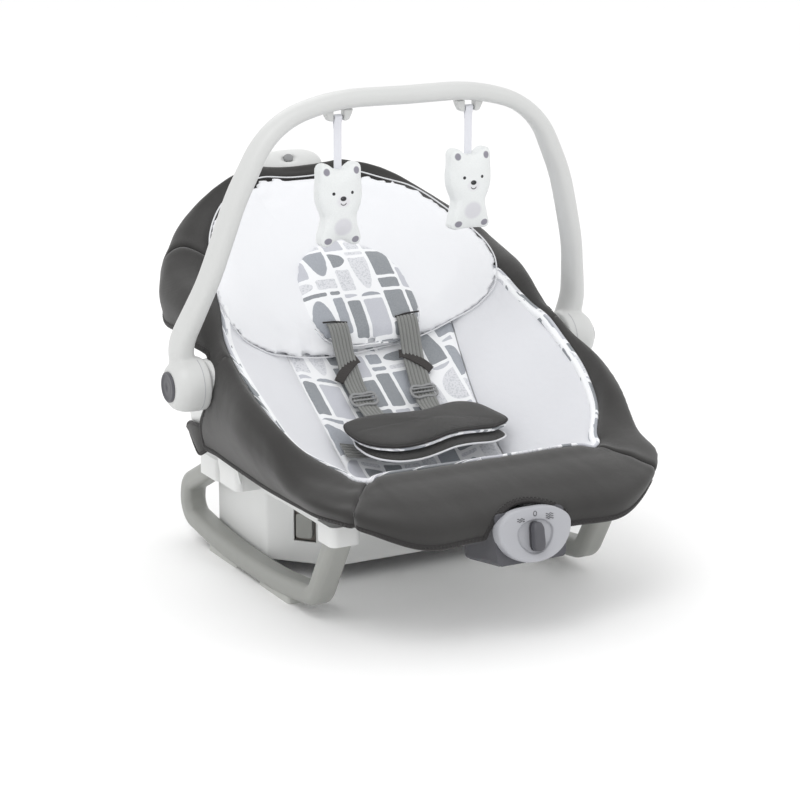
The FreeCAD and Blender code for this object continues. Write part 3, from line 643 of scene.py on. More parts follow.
MATERIALS = {
    # the runners' and latches' grey is darker than the plastic's own colour: painted shade from the seat
    # above
    "runner": plastic("runner_plastic", "969793", 0.36, 0.5),
    "rubber": plastic("pad_rubber", "b8b9b5", 0.75, 0.9, 0.05),
    "white": plastic("white_plastic", "dddedd", 0.32, 0.46, 0.015, 0.025),
    # the toy bar's plastic is a darker copy of the white plastic: painted shade
    "bar": plastic("bar_plastic_painted_shade", "cccdcc", 0.32, 0.46, 0.015, 0.025),
    "grey": plastic("grey_plastic", "8d8e8f", 0.4, 0.55),
    "bezel": plastic("bezel_plastic", "a9aaaf", 0.32, 0.45, 0.02, 0.03),
    "dark": plastic("dark_plastic", "4e4e53", 0.38, 0.52, 0.03),
    "ink": plastic("marking_ink", "4c4d50", 0.5, 0.6),
    "steel": metal("steel", "b9bbbd", 0.28),
    "painted": metal("painted_steel", "77797c", 0.4),
    "charcoal": cloth("charcoal_fabric", "302f2e"),
    "binding": cloth("dark_binding", "2b2929", 1.1, 0.2, 0.2, 0.15),
    "elastic": cloth("dark_elastic", "3b3837", 1.5, 0.3, 0.15, 0.1),
    "thread": cloth("stitch_thread", "2a2929", 0.5, 0.1, 0.05, 0.1),
    # the head support's fabric is a lighter copy of the white fabric below: painted light
    "head": cloth("head_fabric_painted_light", "e9eaed", 0.8, 0.06, 0.5, 0.12, 0.02),
    "quilt": cloth("white_fabric", "dcdde1", 0.8, 0.06, 0.5, 0.12, 0.02),
    "quilt_soft": cloth("white_plush", "dcdde0", 0.8, 0.06, 0.6, 0.12, 0.02, flat=False),
    "print": printed("printed_fabric"),
    "pillow_print": printed("printed_pillow", (23.0, 31.0)),
    "trim_print": printed("printed_trim", (11.0, 7.0)),
    "edge_print": printed("printed_edge", (38.0, 17.0), sparse=True),
    "webbing": webbing("harness_webbing", "858684"),
    "ribbon": cloth("toy_ribbon", "dfe0e6", 0.7, 0.1, 0.1, 0.3, 0.03),
    # the latch trays' grey-brown is darker than the housing: painted shade in the latch pockets
    "recess": plastic("recess_painted_shade", "a39c96", 0.5, 0.65),
    "board": plastic("circuit_green", "2f6b46", 0.4, 0.5),
    "battery": plastic("battery_skin", "5a6068", 0.3, 0.4),
}


def finish(obj, body, material, replaces=()):
    """Gives a piece its material and the body that it rides on."""
    obj.data.materials.clear()
    obj.data.materials.append(material if isinstance(material, bpy.types.Material) else MATERIALS[material])
    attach(obj, body)
    if replaces:
        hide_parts(*replaces)
    return obj


# ---------------------------------------------------------------- stage
LENS = 107.96            # millimetres
SENSOR = 36.0
CAMERA_PLACE = (-1.25494, -2.32414, 0.89844)             # metres
CAMERA_DOWN = 14.936     # degrees under the horizon, and round from the y axis
CAMERA_TURN = -28.3176
FLOOR_HALF = 30000.0     # half the side of the sheet under the object
LIGHTS = (               # name, place, what it points at, size, watts
    ("key", (-1.2, -1.0, 2.6), (0, 0, 0.25), 1.6, 15),
    ("fill", (1.8, -1.8, 1.6), (0, 0, 0.25), 2.0, 3),
    ("back", (0.3, 2.4, 2.2), (0, 0, 0.3), 1.8, 9),
)


def make_camera():
    data = bpy.data.cameras.new("camera")
    data.lens = LENS
    data.sensor_width = SENSOR
    data.clip_end = 60.0
    camera = bpy.data.objects.new("camera", data)
    camera.location = CAMERA_PLACE
    camera.rotation_euler = (math.radians(90 - CAMERA_DOWN), 0.0, math.radians(CAMERA_TURN))
    bpy.context.scene.collection.objects.link(camera)
    bpy.context.scene.camera = camera


def area_light(name, place, target, size, watts):
    data = bpy.data.lights.new(name, "AREA")
    data.shape = "DISK"
    data.size = size
    data.energy = watts
    lamp = bpy.data.objects.new(name, data)
    lamp.location = place
    way = Vector(target) - Vector(place)
    lamp.rotation_euler = way.to_track_quat("-Z", "Y").to_euler()
    bpy.context.scene.collection.objects.link(lamp)


def make_stage():
    bpy.context.scene.view_settings.view_transform = "Standard"
    world = bpy.data.worlds.new("studio")
    world.use_nodes = True
    world.node_tree.nodes["Background"].inputs[0].default_value = (1.0, 1.0, 1.0, 1.0)
    world.node_tree.nodes["Background"].inputs[1].default_value = 1.0
    bpy.context.scene.world = world
    corners = [(FLOOR_HALF * x, FLOOR_HALF * y, 0) for x, y in ((-1, -1), (1, -1), (1, 1), (-1, 1))]
    floor = make_mesh("floor", corners, [(0, 1, 2, 3)])
    paper = Shader("paper", (1.0, 1.0, 1.0, 1.0), 0.85)
    paper.rough(0.8, 0.95, paper.noise(300, 2))
    floor.data.materials.append(paper.material)
    for light in LIGHTS:
        area_light(*light)


# ---------------------------------------------------------------- surround
FRONT_CENTRE = (118, -195)               # the front corner turns about this point (x, y)
BACK_CENTRE = (0, 50)                    # the back turns about this point (x, y)
FRONT_PROFILE = [(21, 167), (52, 166), (92, 154), (121, 132), (118, 114)]
CORNER = [               # angle from +X about FRONT_CENTRE, then (reach, z) down to the hem
    (-90, FRONT_PROFILE),
    (-50, [(36, 163), (62, 164), (86, 158), (106, 150), (100, 135)]),
    (-25, [(39, 165), (70, 168), (92, 164), (104, 158), (93, 138)]),
    (0, [(42, 170), (84, 178), (96, 174), (101, 164), (87, 138)]),
]
FLANK = [                # y, then (reach from the middle plane, z)
    (-150, [(190, 189), (209, 212), (222, 207), (226, 190), (207, 138)]),
    (-100, [(202, 221), (217, 236), (228, 228), (233.5, 210), (208, 138)]),
    (-50, [(204, 247), (214, 255), (223, 246), (229.5, 222), (212, 140)]),
    (-22, [(203, 262), (212, 268), (222, 257), (228, 232), (213, 142)]),
    (6, [(198, 273), (207, 279), (219, 273), (226, 250), (219, 190)]),
]
BACK = [                 # angle from +X about BACK_CENTRE, then (reach, z)
    (0, [(184, 303), (197, 311), (213, 309), (223, 297), (223, 268)]),
    (15, [(180, 328), (205, 338), (222, 334), (232, 317), (228, 275)]),
    (30, [(183, 358), (200, 370), (213, 366), (221, 350), (217, 300)]),
    (45, [(180, 384), (192, 400), (201, 396), (208, 382), (204, 326)]),
    (60, [(178, 403), (187, 421), (194, 417), (199, 404), (194, 344)]),
    (73, [(177, 412), (186, 429), (192, 426), (198, 410), (191, 350)]),
    (90, [(176, 415), (185, 432), (192, 429), (198, 412), (191, 353)]),
]
CORNER_SEAM = 3.0        # which stations the seams stand at
BACK_SEAM = 12.6
TUCK = 8.0               # the fabric's inner edge turns down this far
COVER_THICK = 2.6
CONTROL_ARCH = (49.0, 112.0, 34.0)       # half width, foot and rise of each opening in the hem
HANDLE_ARCH = (40.0, 350.0, 63.0)
HUB_ARCH = (-24.0, 50.0, 140.0, 264.0)   # the uprights' opening: first y, last y, foot and top
HUB_ARCH_ROUND = 32.0    # its front top corner is rounded over this much y
OPENING_EDGE = [         # z, then how far back the opening's edge stands
    (138, 66), (149, 65), (165, 59), (186, 44), (200, 28), (212, 17), (225, 12), (240, 12), (255, 10),
    (266, 5), (282, 0), (305, 0),
]
FOOT_BULGE = 7.0         # how far the cloth is raised at the opening's foot
REAR_BULGE = 19.0        # how far the flank behind the opening stands back
HANDLE_DIP = 9.0         # how far the rear edge dips over the handle


def station(centre, angle, profile):
    way = math.radians(angle)
    points = [(centre[0] + r * math.cos(way), centre[1] + r * math.sin(way), z) for r, z in profile]
    inner, crest = np.array(points[0]), np.array(points[1])
    inward = (inner - crest) * (1, 1, 0)
    inward /= np.linalg.norm(inward)
    return np.vstack([inner + inward * 2 - (0, 0, TUCK), points])


def surround_stations():
    right = [station((x, FRONT_CENTRE[1]), -90, FRONT_PROFILE) for x in (0, 60)]
    right += [station(FRONT_CENTRE, angle, profile) for angle, profile in CORNER]
    right += [station((0, y), 0, profile) for y, profile in FLANK]
    right += [station(BACK_CENTRE, angle, profile) for angle, profile in BACK]
    left = [points * (-1, 1, 1) for points in right[-2:0:-1]]
    return np.array(right + left)


def arch_height(value, arch):
    half, foot, rise = arch
    inside = np.clip(1 - (value / half) ** 2, 0, None)
    return np.where(np.abs(value) < half, foot + rise * inside ** 0.42, -1.0)


def hem_height(columns):
    """How low the fabric reaches in each column; -1 where nothing cuts it."""
    x, y = columns[:, 4, 0], columns[:, 4, 1]
    front = np.where(y < -200, arch_height(x, CONTROL_ARCH), -1.0)
    rear = np.where(y > 150, arch_height(x, HANDLE_ARCH), -1.0)
    first, last, foot, top = HUB_ARCH
    t = np.clip((y - first) / HUB_ARCH_ROUND, 0, 1)
    rise = foot + (top - foot) * (1 - (1 - t) ** 3) ** 0.5 + np.clip(y + 10, 0, 60) * 0.09
    hub = np.where((y > first) & (y < last) & (np.abs(x) > 180), rise, -1.0)
    return np.maximum(np.maximum(front, rear), hub)


def trimmed(control, cut, count):
    """One column of the surround, from its tucked inner edge down to its hem."""
    along = run_along(control)
    fine = smooth(np.column_stack([along, control]), np.linspace(0, along[-1], 90))
    crest = int(np.argmax(fine[:, 2]))
    below = [k for k in range(crest, len(fine)) if fine[k, 2] < cut]
    if below:
        k = below[0]
        part = (fine[k - 1, 2] - cut) / (fine[k - 1, 2] - fine[k, 2])
        fine = np.vstack([fine[:k], fine[k - 1] + (fine[k] - fine[k - 1]) * part])
    run = run_along(fine)
    wanted = np.linspace(0, run[-1], count)
    return np.column_stack([np.interp(wanted, run, fine[:, k]) for k in range(3)])


class Surround:
    """The padded cover's surface, as columns of points round the seat."""

    def __init__(self, step=4.5, count=30):
        stations = surround_stations()
        size = len(stations)
        ring = np.concatenate([stations[-3:], stations, stations[:4]])
        widest = ring[:, 4]
        along = run_along(widest)
        along -= along[3]
        self.length = along[3 + size]
        self.table = np.column_stack([along, ring.reshape(len(ring), -1)])
        self.seams = np.interp([3 + CORNER_SEAM, 3 + BACK_SEAM], np.arange(len(along)), along)
        fine = np.linspace(-self.length / 2, self.length, 6001)
        columns = self.columns(fine)
        hem = np.array([trimmed(c, cut, 2)[-1] for c, cut in zip(columns, hem_height(columns))])
        moved = np.linalg.norm(np.diff(columns[:, 2], axis=0), axis=1)
        moved = moved + np.linalg.norm(np.diff(hem, axis=0), axis=1)
        self.fine, self.run = fine, np.concatenate([[0], np.cumsum(moved)])
        self.step, self.count = step * 2, count

    def columns(self, at):
        return smooth(self.table, np.mod(at, self.length)).reshape(-1, 6, 3)

    def panel(self, first, last):
        """Columns of points from one place round the seat to another."""
        a, b = np.interp([first, last], self.fine, self.run)
        at = np.interp(np.linspace(a, b, int((b - a) / self.step) + 2), self.run, self.fine)
        columns = self.columns(at)
        cuts = hem_height(columns)
        grid = np.array([trimmed(c, cut, self.count) for c, cut in zip(columns, cuts)])
        return at, self.bulge(grid)

    @staticmethod
    def bulge(grid):
        """The opening's edge curves back at its foot and its top, and the crest dips at the handle."""
        x, y, z = grid[..., 0], grid[..., 1], grid[..., 2]
        near = (np.abs(x) > 150) * ease(-115, -24, y) * (1 - ease(-8, 95, y))
        past = np.arange(grid.shape[1])[None] >= np.argmax(z, axis=1)[:, None]
        near = near * past * ease(1, 24, z.max(axis=1, keepdims=True) - z)
        back = smooth(OPENING_EDGE, z)[..., 0] * near
        lift = FOOT_BULGE * near * (1 - ease(140, 190, z))
        share = ease(6, 26, lengths(grid, 1)) * ease(60, 115, y) * (1 - ease(165, 235, y))
        back = back + REAR_BULGE * share * (np.abs(x) > 60)
        dip = HANDLE_DIP * np.clip(1 - (x / 56) ** 2, 0, 1) * ease(212, 230, y) * ease(412, 430, z)
        return grid + np.stack([0 * x, back, lift - dip], -1)


def grid_normals(grid):
    across = np.gradient(grid, axis=0)
    down = np.gradient(grid, axis=1)
    normal = np.cross(across, down)
    return normal / np.maximum(np.linalg.norm(normal, axis=2), 1e-9)[..., None]


def outward_normals(grid):
    """Normals that point away from the seat's middle and up."""
    normal = grid_normals(grid)
    away = grid - SEAT_MIDDLE
    if (normal * away).sum() < 0:
        normal = -normal
    return normal


def sewn_panel(name, surround, first, last, seed):
    """One panel of the surround: pulled in along its seams, and a little wrinkled."""
    at, grid = surround.panel(first, last)
    normal = outward_normals(grid)
    down = lengths(grid, 1)
    from_seam = np.minimum(at - first, last - at)[:, None]
    tuck = -1.7 * np.exp(-(from_seam / 2.6) ** 2) + 0.6 * np.exp(-((from_seam - 9) / 6.0) ** 2)
    waves = 0.8 * ripple(at[:, None], down, seed, 130) + 0.35 * ripple(at[:, None], down * 0.6, seed + 1, 42)
    pulls = 0.55 * np.sin(down / 5.5 + at[:, None] / 19) * np.exp(-(from_seam / 30.0) ** 2)
    quiet = ease(0, 12, down[:, -1:] - down)
    grid = grid + normal * (tuck + (waves + pulls) * quiet)[..., None]
    uv = np.stack([np.repeat(at[:, None], grid.shape[1], 1), down], -1)
    obj = cloth_grid(name, grid, uv=uv)
    face_away(obj)
    thicken(obj, COVER_THICK)
    return obj, grid


SEAT_MIDDLE = (0, 0, 200)                # a point inside the seat


def face_away(obj):
    """Turns an open sheet's faces so that they look away from a point inside the seat."""
    middle = placed([SEAT_MIDDLE])[0]
    total = 0.0
    for face in obj.data.polygons:
        total += face.area * Vector(face.normal).dot(Vector(face.center) - Vector(middle))
    if total < 0:
        obj.data.flip_normals()


BINDING = [              # section of the hem's binding: (out, up from the hem)
    (-3.3, -0.8), (-1.2, -1.7), (0.5, -1.2), (1.2, 0.6), (1.15, 4.6), (0.7, 5.6), (-0.4, 5.7), (-3.4, 5.4),
    (-3.9, 4.2), (-3.9, 0.6),
]


def hem_frame(grid):
    """Along the hem: its points, the way out of the cloth, and the way back up it."""
    hem = grid[:, -1]
    normal = outward_normals(grid)[:, -2]
    ahead = ahead_along(hem)
    up = unit(np.cross(normal, ahead))
    into = grid[:, -4] - hem
    up *= np.sign((up * into).sum(1))[:, None]
    return hem, normal, up


def hem_binding(name, grid):
    hem, out, up = hem_frame(grid)
    rings = np.array([[h + a * o + b * u for a, b in BINDING] for h, o, u in zip(hem, out, up)])
    return fix_normals(subdivided(skin(name, rings), 1))


STITCH_HEIGHTS = (1.9, 4.4)              # two rows, up from the hem
STITCH_OUT = 1.25
STITCH_PITCH = 4.4
STITCH_LONG = 3.0


def stitch_row(grid, height):
    """Short raised stitches, height up from the hem."""
    hem, out, up = hem_frame(grid)
    line = hem + up * height + out * STITCH_OUT
    run = run_along(line)
    starts = np.arange(STITCH_PITCH, run[-1] - STITCH_PITCH, STITCH_PITCH)
    rings = []
    for start in starts:
        at = start + STITCH_LONG * np.array([0, 0.5, 1])
        rings.append(np.column_stack([np.interp(at, run, line[:, j]) for j in range(3)]))
    return rings


STITCH_RADIUS = 0.42


def stitches(name, rows):
    """Every stitch of several rows, as one mesh of little tubes."""
    points, faces = [], []
    for spots in rows:
        ahead = spots[-1] - spots[0]
        ahead = ahead / np.linalg.norm(ahead)
        side = np.cross(ahead, (0.3, 0.2, 1.0))
        side /= np.linalg.norm(side)
        above = np.cross(side, ahead)
        start = len(points)
        for spot, size in zip(spots, (0.5, 1.0, 0.5)):
            for k in range(5):
                turn = k / 5 * 2 * math.pi
                points.append(spot + STITCH_RADIUS * size * (math.cos(turn) * side + math.sin(turn) * above))
        faces += grid_faces(3, 5, closed=True, start=start)
        faces.append([start + k for k in range(5)][::-1])
        faces.append([start + 10 + k for k in range(5)])
    return fix_normals(make_mesh(name, points, faces))


EDGE_ROLL = 10.5         # width of the liner's boxed edge
EDGE_PIPE = 4.2          # width of the piping sewn along it


def edging(surround):
    """The liner's round boxed edge, and the printed piping sewn along it."""
    at = np.linspace(0, surround.length, 420, endpoint=False)
    columns = surround.columns(at)
    inner = columns[:, 1]
    out = unit((columns[:, 2] - inner) * (1, 1, 0))
    sunk = ease(50, 105, inner[:, 1])
    wavy = (0.7 * ripple(at, at * 0.0, 31, 70) - 1.0 - 15.0 * sunk)[:, None]
    up = np.array([0, 0, 1.0])
    line = inner + out * -3.2 + up * (-0.8 + wavy)
    line = np.vstack([line, line[:1]])
    across = unit(np.cross(ahead_along(line), up))
    section = oval(EDGE_ROLL, EDGE_ROLL, 14, 0.8)
    rings = line[:, None] + section[None, :, :1] * across[:, None] + section[None, :, 1:] * up
    body = fix_normals(subdivided(skin("liner_edge_roll", rings, caps=False), 1))
    finish(body, "seat", "edge_print")
    line = inner + out * -0.2 + up * (4.0 + wavy)
    piping = tube("liner_piping", np.vstack([line, line[:1]]), oval(EDGE_PIPE, EDGE_PIPE, 8))
    fix_normals(subdivided(piping, 1))
    finish(piping, "seat", "trim_print")


def make_surround():
    surround = Surround()
    corner, back = surround.seams
    far_back, far_corner = surround.length - back, surround.length - corner
    rows = []
    panels = (
        ("front_panel", -corner, corner, "front_cover", 3),
        ("side_panel_right", corner, back, "side_cover_right", 5),
        ("back_panel", back, far_back, "back_cover", 8),
        ("side_panel_left", far_back, far_corner, "side_cover_left", 11),
    )
    for name, first, last, node, seed in panels:
        obj, grid = sewn_panel(name, surround, first, last, seed)
        finish(obj, "seat", "charcoal", [node])
        binding = hem_binding(name + "_binding", grid)
        finish(binding, "seat", "binding")
        for height in STITCH_HEIGHTS:
            rows += stitch_row(grid, height)
    finish(stitches("hem_stitches", rows), "seat", "thread")
    edging(surround)


# ---------------------------------------------------------------- liner
LINER_THICK = 9.0


def liner_grid(y_values, inner, outer, across, lift):
    """Points of a part of the liner; lift(x, y, t) raises it, where t runs from 0 to 1 across."""
    t = (1 - np.cos(np.linspace(0, math.pi, across))) / 2
    low, high = inner(y_values)[:, None], outer(y_values)[:, None]
    x = low + (high - low) * t[None]
    y = np.repeat(y_values[:, None], across, 1)
    return on_seat(x, y, lift(x, y, t[None]))


def panel_lift(x, y, t):
    edge = np.minimum(t, 1 - t) * 2 * panel_edge(y)
    seam = -4.0 * np.exp(-(edge / 4.0) ** 2)
    tufts = 0.9 * ripple(x, y, 41, 75) + 0.4 * ripple(x, y, 42, 30)
    channel = -1.6 * np.exp(-((y + 36) / 3.0) ** 2)
    return seam + tufts * ease(0, 14, edge) + channel - 0.6


def wing_lift(x, y, t):
    crown = 9.0 - 6.5 * ease(6, 28, y) - 3.0 * (1 - ease(-222, -190, y))
    plump = np.clip(4 * t * (1 - t), 0, 1) ** 0.55
    edge = (6.0 * ease(0.4, 1, t) - 4.2) * (1 - plump)
    return crown * plump + edge + 0.8 * ripple(x, y, 47, 85) * plump


def make_liner():
    y_values = np.linspace(-222, 222, 150)
    grid = liner_grid(y_values, lambda y: 0.5 - panel_edge(y), lambda y: panel_edge(y) - 0.5, 64, panel_lift)
    panel = cloth_grid("printed_liner", grid)
    face_up(panel)
    thicken(panel, LINER_THICK)
    finish(panel, "seat", "print", ["liner_panel"])
    y_values = np.linspace(-216, 206, 140)
    for side, sign in SIDES:
        grid = liner_grid(
            y_values, lambda y: panel_edge(y) + 0.4, lambda y: full_width(y) - 1.0, 34, wing_lift)
        wing = cloth_grid("side_wing_" + side, grid * (sign, 1, 1))
        face_up(wing)
        thicken(wing, LINER_THICK - 1)
        finish(wing, "seat", "quilt", ["liner_wing_" + side])


def face_up(obj):
    if sum(face.normal.z * face.area for face in obj.data.polygons) < 0:
        obj.data.flip_normals()


# ---------------------------------------------------------------- stuffed pieces
def stuffed_form(name, outline, lay, thick, edge, power=2.6, rings=12, count=110):
    """A crowned closed form over an outline; lay(points, height) puts flat points in their place."""
    outline = curve_through(outline, count, closed=True)
    middle = outline.mean(0)
    sizes = np.sin(np.linspace(0.04, math.pi / 2, rings))
    layers = [(size, edge + (thick - edge) * (1 - size ** power) ** 0.5) for size in sizes]
    layers += [(size, 0.0) for size in sizes[::-1]]
    loops = [lay(middle + (outline - middle) * size, height) for size, height in layers]
    return fix_normals(skin(name, np.array(loops)))


SIM_FRAMES = 20


def puffed(pieces, cap):
    """Swells closed forms by a short cloth simulation, each point by at most cap millimetres."""
    scene = bpy.context.scene
    for obj, voxel, _ in pieces:
        remeshed(obj, voxel)
    for obj, _, pressure in pieces:
        modifier = obj.modifiers.new("cloth", "CLOTH")
        modifier.settings.use_pressure = True
        modifier.settings.uniform_pressure_force = pressure
        modifier.settings.quality = 5
        modifier.settings.mass = 0.2
        modifier.settings.effector_weights.gravity = 0.0
        modifier.point_cache.frame_start = 1
        modifier.point_cache.frame_end = SIM_FRAMES
    for number in range(1, SIM_FRAMES + 1):
        scene.frame_set(number)
    depsgraph = bpy.context.evaluated_depsgraph_get()
    for obj, _, _ in pieces:
        settle(obj, obj.evaluated_get(depsgraph).data, cap)
        obj.modifiers.clear()
    scene.frame_set(1)
    for obj, _, _ in pieces:
        smooth_shaded(obj)
        softened(obj, 0.5, 4)


def settle(obj, swollen, cap):
    """Takes the simulated shape, but moves no point further than cap, and the underside hardly at all."""
    count = len(obj.data.vertices)
    rest, moved, normal = (np.zeros(count * 3) for _ in range(3))
    obj.data.vertices.foreach_get("co", rest)
    obj.data.vertices.foreach_get("normal", normal)
    swollen.vertices.foreach_get("co", moved)
    rest, moved, normal = rest.reshape(-1, 3), moved.reshape(-1, 3), normal.reshape(-1, 3)
    step = moved - rest
    size = np.linalg.norm(step, axis=1)
    step *= np.minimum(1, cap * MM / np.maximum(size, 1e-9))[:, None]
    if obj.get("rests"):
        step *= ease(-0.35, 0.25, normal[:, 2])[:, None]
    obj.data.vertices.foreach_set("co", (rest + step).ravel())
    obj.data.update()


def lay_flat(obj, flatten):
    """Gives a mesh UVs from flatten(points, normals), in millimetres."""
    mesh = obj.data
    points = np.zeros(len(mesh.vertices) * 3)
    normals = np.zeros(len(mesh.vertices) * 3)
    mesh.vertices.foreach_get("co", points)
    mesh.vertices.foreach_get("normal", normals)
    points = points.reshape(-1, 3) / MM - (0, SHIFT, 0)
    pairs = flatten(points, normals.reshape(-1, 3))
    corner = np.zeros(len(mesh.loops), int)
    mesh.loops.foreach_get("vertex_index", corner)
    layer = mesh.uv_layers.get("flat") or mesh.uv_layers.new(name="flat")
    layer.data.foreach_set("uv", (pairs[corner] * MM).ravel())


HEAD_OUTLINE = [         # the head support, from its lower middle round: (x, y)
    (0, 36), (70, 40), (110, 42), (150, 41), (170, 45), (181, 62), (181, 84), (174, 106), (157, 140),
    (130, 173), (95, 198), (54, 215), (0, 222), (-54, 215), (-92, 199), (-128, 173), (-157, 138),
    (-175, 95), (-184, 62), (-184, 38), (-176, 24), (-150, 20), (-110, 26), (-60, 31),
]
HEAD_THICK = [(24, 11), (50, 15), (80, 16), (145, 14), (195, 10), (222, 8)]
PILLOW_OUTLINE = [       # the printed head pillow, its right half only
    (0, 31), (40, 32), (60, 38), (71, 50), (75, 68), (71, 92), (60, 112), (40, 127), (20, 134), (0, 136),
]


def mirrored_outline(right):
    """A closed outline from its right half, which starts and ends on the middle line."""
    return right + [(-x, y) for x, y in right[-2:0:-1]]


PILLOW_ROUND = mirrored_outline(PILLOW_OUTLINE)


def on_the_seat(low, thick_at=None):
    """Lays flat (x, y) points on the liner, raised by low and by their own height."""
    def lay(points, height):
        share = 1.0 if thick_at is None else smooth(thick_at, points[:, 1])[:, 0] / 15.0
        floor = low(points[:, 1]) if callable(low) else low
        return on_seat(points[:, 0], points[:, 1], floor + height * share)
    return lay


HEAD_FLOOR = 3.4


def pillow_floor(y):
    return HEAD_FLOOR + 1.5 + smooth(HEAD_THICK, y)[:, 0]


def back_flat(points, normals):
    """Flat coordinates of a pad that lies on the back rest."""
    return np.column_stack([points[:, 0], points[:, 1] * 0.72 + points[:, 2] * 0.69])


def head_support():
    pad = stuffed_form("head_support_pad", HEAD_OUTLINE,
                       on_the_seat(HEAD_FLOOR, HEAD_THICK), 15.0, 8.0, 4.0, 14, 150)
    pad["rests"] = True
    return pad


def pillow():
    pad = stuffed_form("head_pillow_pad", PILLOW_ROUND, on_the_seat(pillow_floor), 14.0, 4.0)
    pad["rests"] = True
    return pad


def edge_piping(name, outline, lay, height, radius):
    """A thin sewn edge all round a pad."""
    line = lay(curve_through(outline, 160, closed=True), height)
    return fix_normals(tube(name, line, oval(radius * 2, radius * 2, 6), closed=True))


# ---------------------------------------------------------------- toy bears
TOY_X = 82.0
TOY_HOOK = Vector(JOINTS["toy_swing_right"]["pos_m"])    # the pin that the right toy hangs on
TOY_TOP = {-1: -48.0, 1: -43.5}                          # top of each bear, from its pin
BEAR_SIZE = 1.08
BEAR_SITTING = [         # right half of the outline from the top middle: (x, z from the top)
    (0, -7), (7, -6), (12, -2.4), (17, -0.6), (22, -2.0), (24.2, -7), (24.0, -14), (25.2, -26), (25.2, -38),
    (22.6, -48), (19.6, -56), (20.2, -65), (22.6, -74), (23.4, -82), (19.5, -87), (13.5, -86.5), (7, -82.5),
    (0, -80.5),
]
BEAR_STANDING = BEAR_SITTING[:12] + [(22.0, -75), (23.0, -84), (19.0, -87), (11, -86.3), (0, -86.0)]
BEAR_MID = 12.0          # half thickness at its middle, and at its sides
BEAR_SIDE = 6.5


def bear(side, sign, outline):
    centre_y = TOY_HOOK.y / MM - SHIFT
    top = TOY_HOOK.z / MM + TOY_TOP[sign]
    shape = curve_through(mirrored_outline(outline), 120, closed=True)
    middle = np.array([0.0, -44.0])
    sizes = np.sin(np.linspace(0.04, math.pi / 2, 11))
    depths = BEAR_SIDE + (BEAR_MID - BEAR_SIDE) * (1 - sizes ** 2.4) ** 0.6
    rings = []
    for size, depth in list(zip(sizes, -depths)) + list(zip(sizes[::-1], depths[::-1])):
        flat = (middle + (shape - middle) * size) * BEAR_SIZE
        rings.append(np.column_stack([
            flat[:, 0] + sign * TOY_X, np.full(len(flat), centre_y + depth), flat[:, 1] + top]))
    return fix_normals(skin("toy_bear_plush_" + side, np.array(rings)))


def bear_flat(sign):
    """The printed face's coordinates; the back is far off, where nothing is printed."""
    top = TOY_HOOK.z / MM + TOY_TOP[sign]

    def flatten(points, normals):
        away = np.where(normals[:, 1] > -0.25, 400.0, 0.0)
        return np.column_stack([points[:, 0] - sign * TOY_X + away, points[:, 2] - top]) / BEAR_SIZE
    return flatten


class Print:
    """Shapes printed on a toy, in millimetres from the middle of its top edge."""

    def __init__(self, shader):
        self.shader = shader
        self.u, self.v = shader.uv()
        self.colour = shader.mix(shader.noise(1.3, 2), rgb("dcdfdf"), rgb("e8eaea"))

    def oval(self, x, z, wide, tall, steep=8.0, turn=0.0):
        """1 inside an oval, 0 outside."""
        c, s = math.cos(turn), math.sin(turn)
        du, dv = self.u - x, self.v - z
        a = (du * c + dv * s) / wide
        b = (dv * c - du * s) / tall
        return (1.0 - (a * a + b * b).math("SQRT")).ramp(steep)

    def paint(self, mask, code, strength=1.0):
        self.colour = self.shader.mix(mask * strength, self.colour, rgb(code))


def bear_material(name):
    """A plain printed bear: inner ears, eyes, muzzle, belly and paws, with a painted highlight on its nose.
    """
    shader = Shader(name, rgb("f2f3f4"), 0.85, Sheen_Weight=0.3)
    art = Print(shader)
    grey, pale, black = "8b8993", "cfced4", "29292c"
    art.paint(art.oval(0, -66, 11.5, 10.5, 3.5), pale, 0.8)
    art.paint(art.oval(0, -39.5, 8.6, 6.8, 3.0), "d9d8dc", 0.8)
    art.paint(art.oval(0, -36.6, 3.6, 2.6), black)
    # a lighter spot on the nose: painted highlight
    art.paint(art.oval(-1.0, -35.9, 1.0, 0.6), "5a5a5e")
    smile = art.oval(0, -40.8, 3.6, 3.0) * (1.0 - art.oval(0, -40.0, 3.1, 2.8))
    art.paint(smile * (-41.0 - art.v).above(0.0), black)
    for side in (-1, 1):
        art.paint(art.oval(side * 16.8, -9.0, 3.8, 4.2, 4.0), grey)
        art.paint(art.oval(side * 10.5, -31.0, 1.8, 1.8), black)
        art.paint(art.oval(side * 15.5, -80.0, 4.6, 3.8, 5.0), grey)
    shader.colour(art.colour)
    shader.rough(0.78, 0.95, shader.noise(2.0, 2))
    shader.weave(0.7, 0.06)
    shader.bump(shader.noise(9, 2), 0.5)
    return shader.material


def make_soft_pieces():
    head, small = head_support(), pillow()
    left, right = bear("left", -1, BEAR_SITTING), bear("right", 1, BEAR_STANDING)
    puffed([(head, 5.0, 1.2), (small, 4.0, 1.6), (left, 2.2, 1.6), (right, 2.2, 1.6)], 5.0)
    lay_flat(head, back_flat)
    lay_flat(small, back_flat)
    subdivided(small)
    finish(head, "seat", "head", ["head_support"])
    finish(small, "seat", "pillow_print", ["head_pillow"])
    welt = edge_piping("head_support_seam", HEAD_OUTLINE, on_the_seat(HEAD_FLOOR, HEAD_THICK), 3.4, 0.9)
    finish(welt, "seat", "quilt_soft")
    welt = edge_piping("head_pillow_seam", PILLOW_ROUND, on_the_seat(pillow_floor), 1.6, 1.1)
    finish(welt, "seat", "pillow_print")
    for obj, side, sign in ((left, "left", -1), (right, "right", 1)):
        lay_flat(obj, bear_flat(sign))
        finish(obj, "toy_" + side, bear_material("toy_print_" + side),
               ["toy_bear_" + side])
        finish(toy_ribbon(side, sign), "toy_" + side, "ribbon", ["toy_ribbon_" + side])


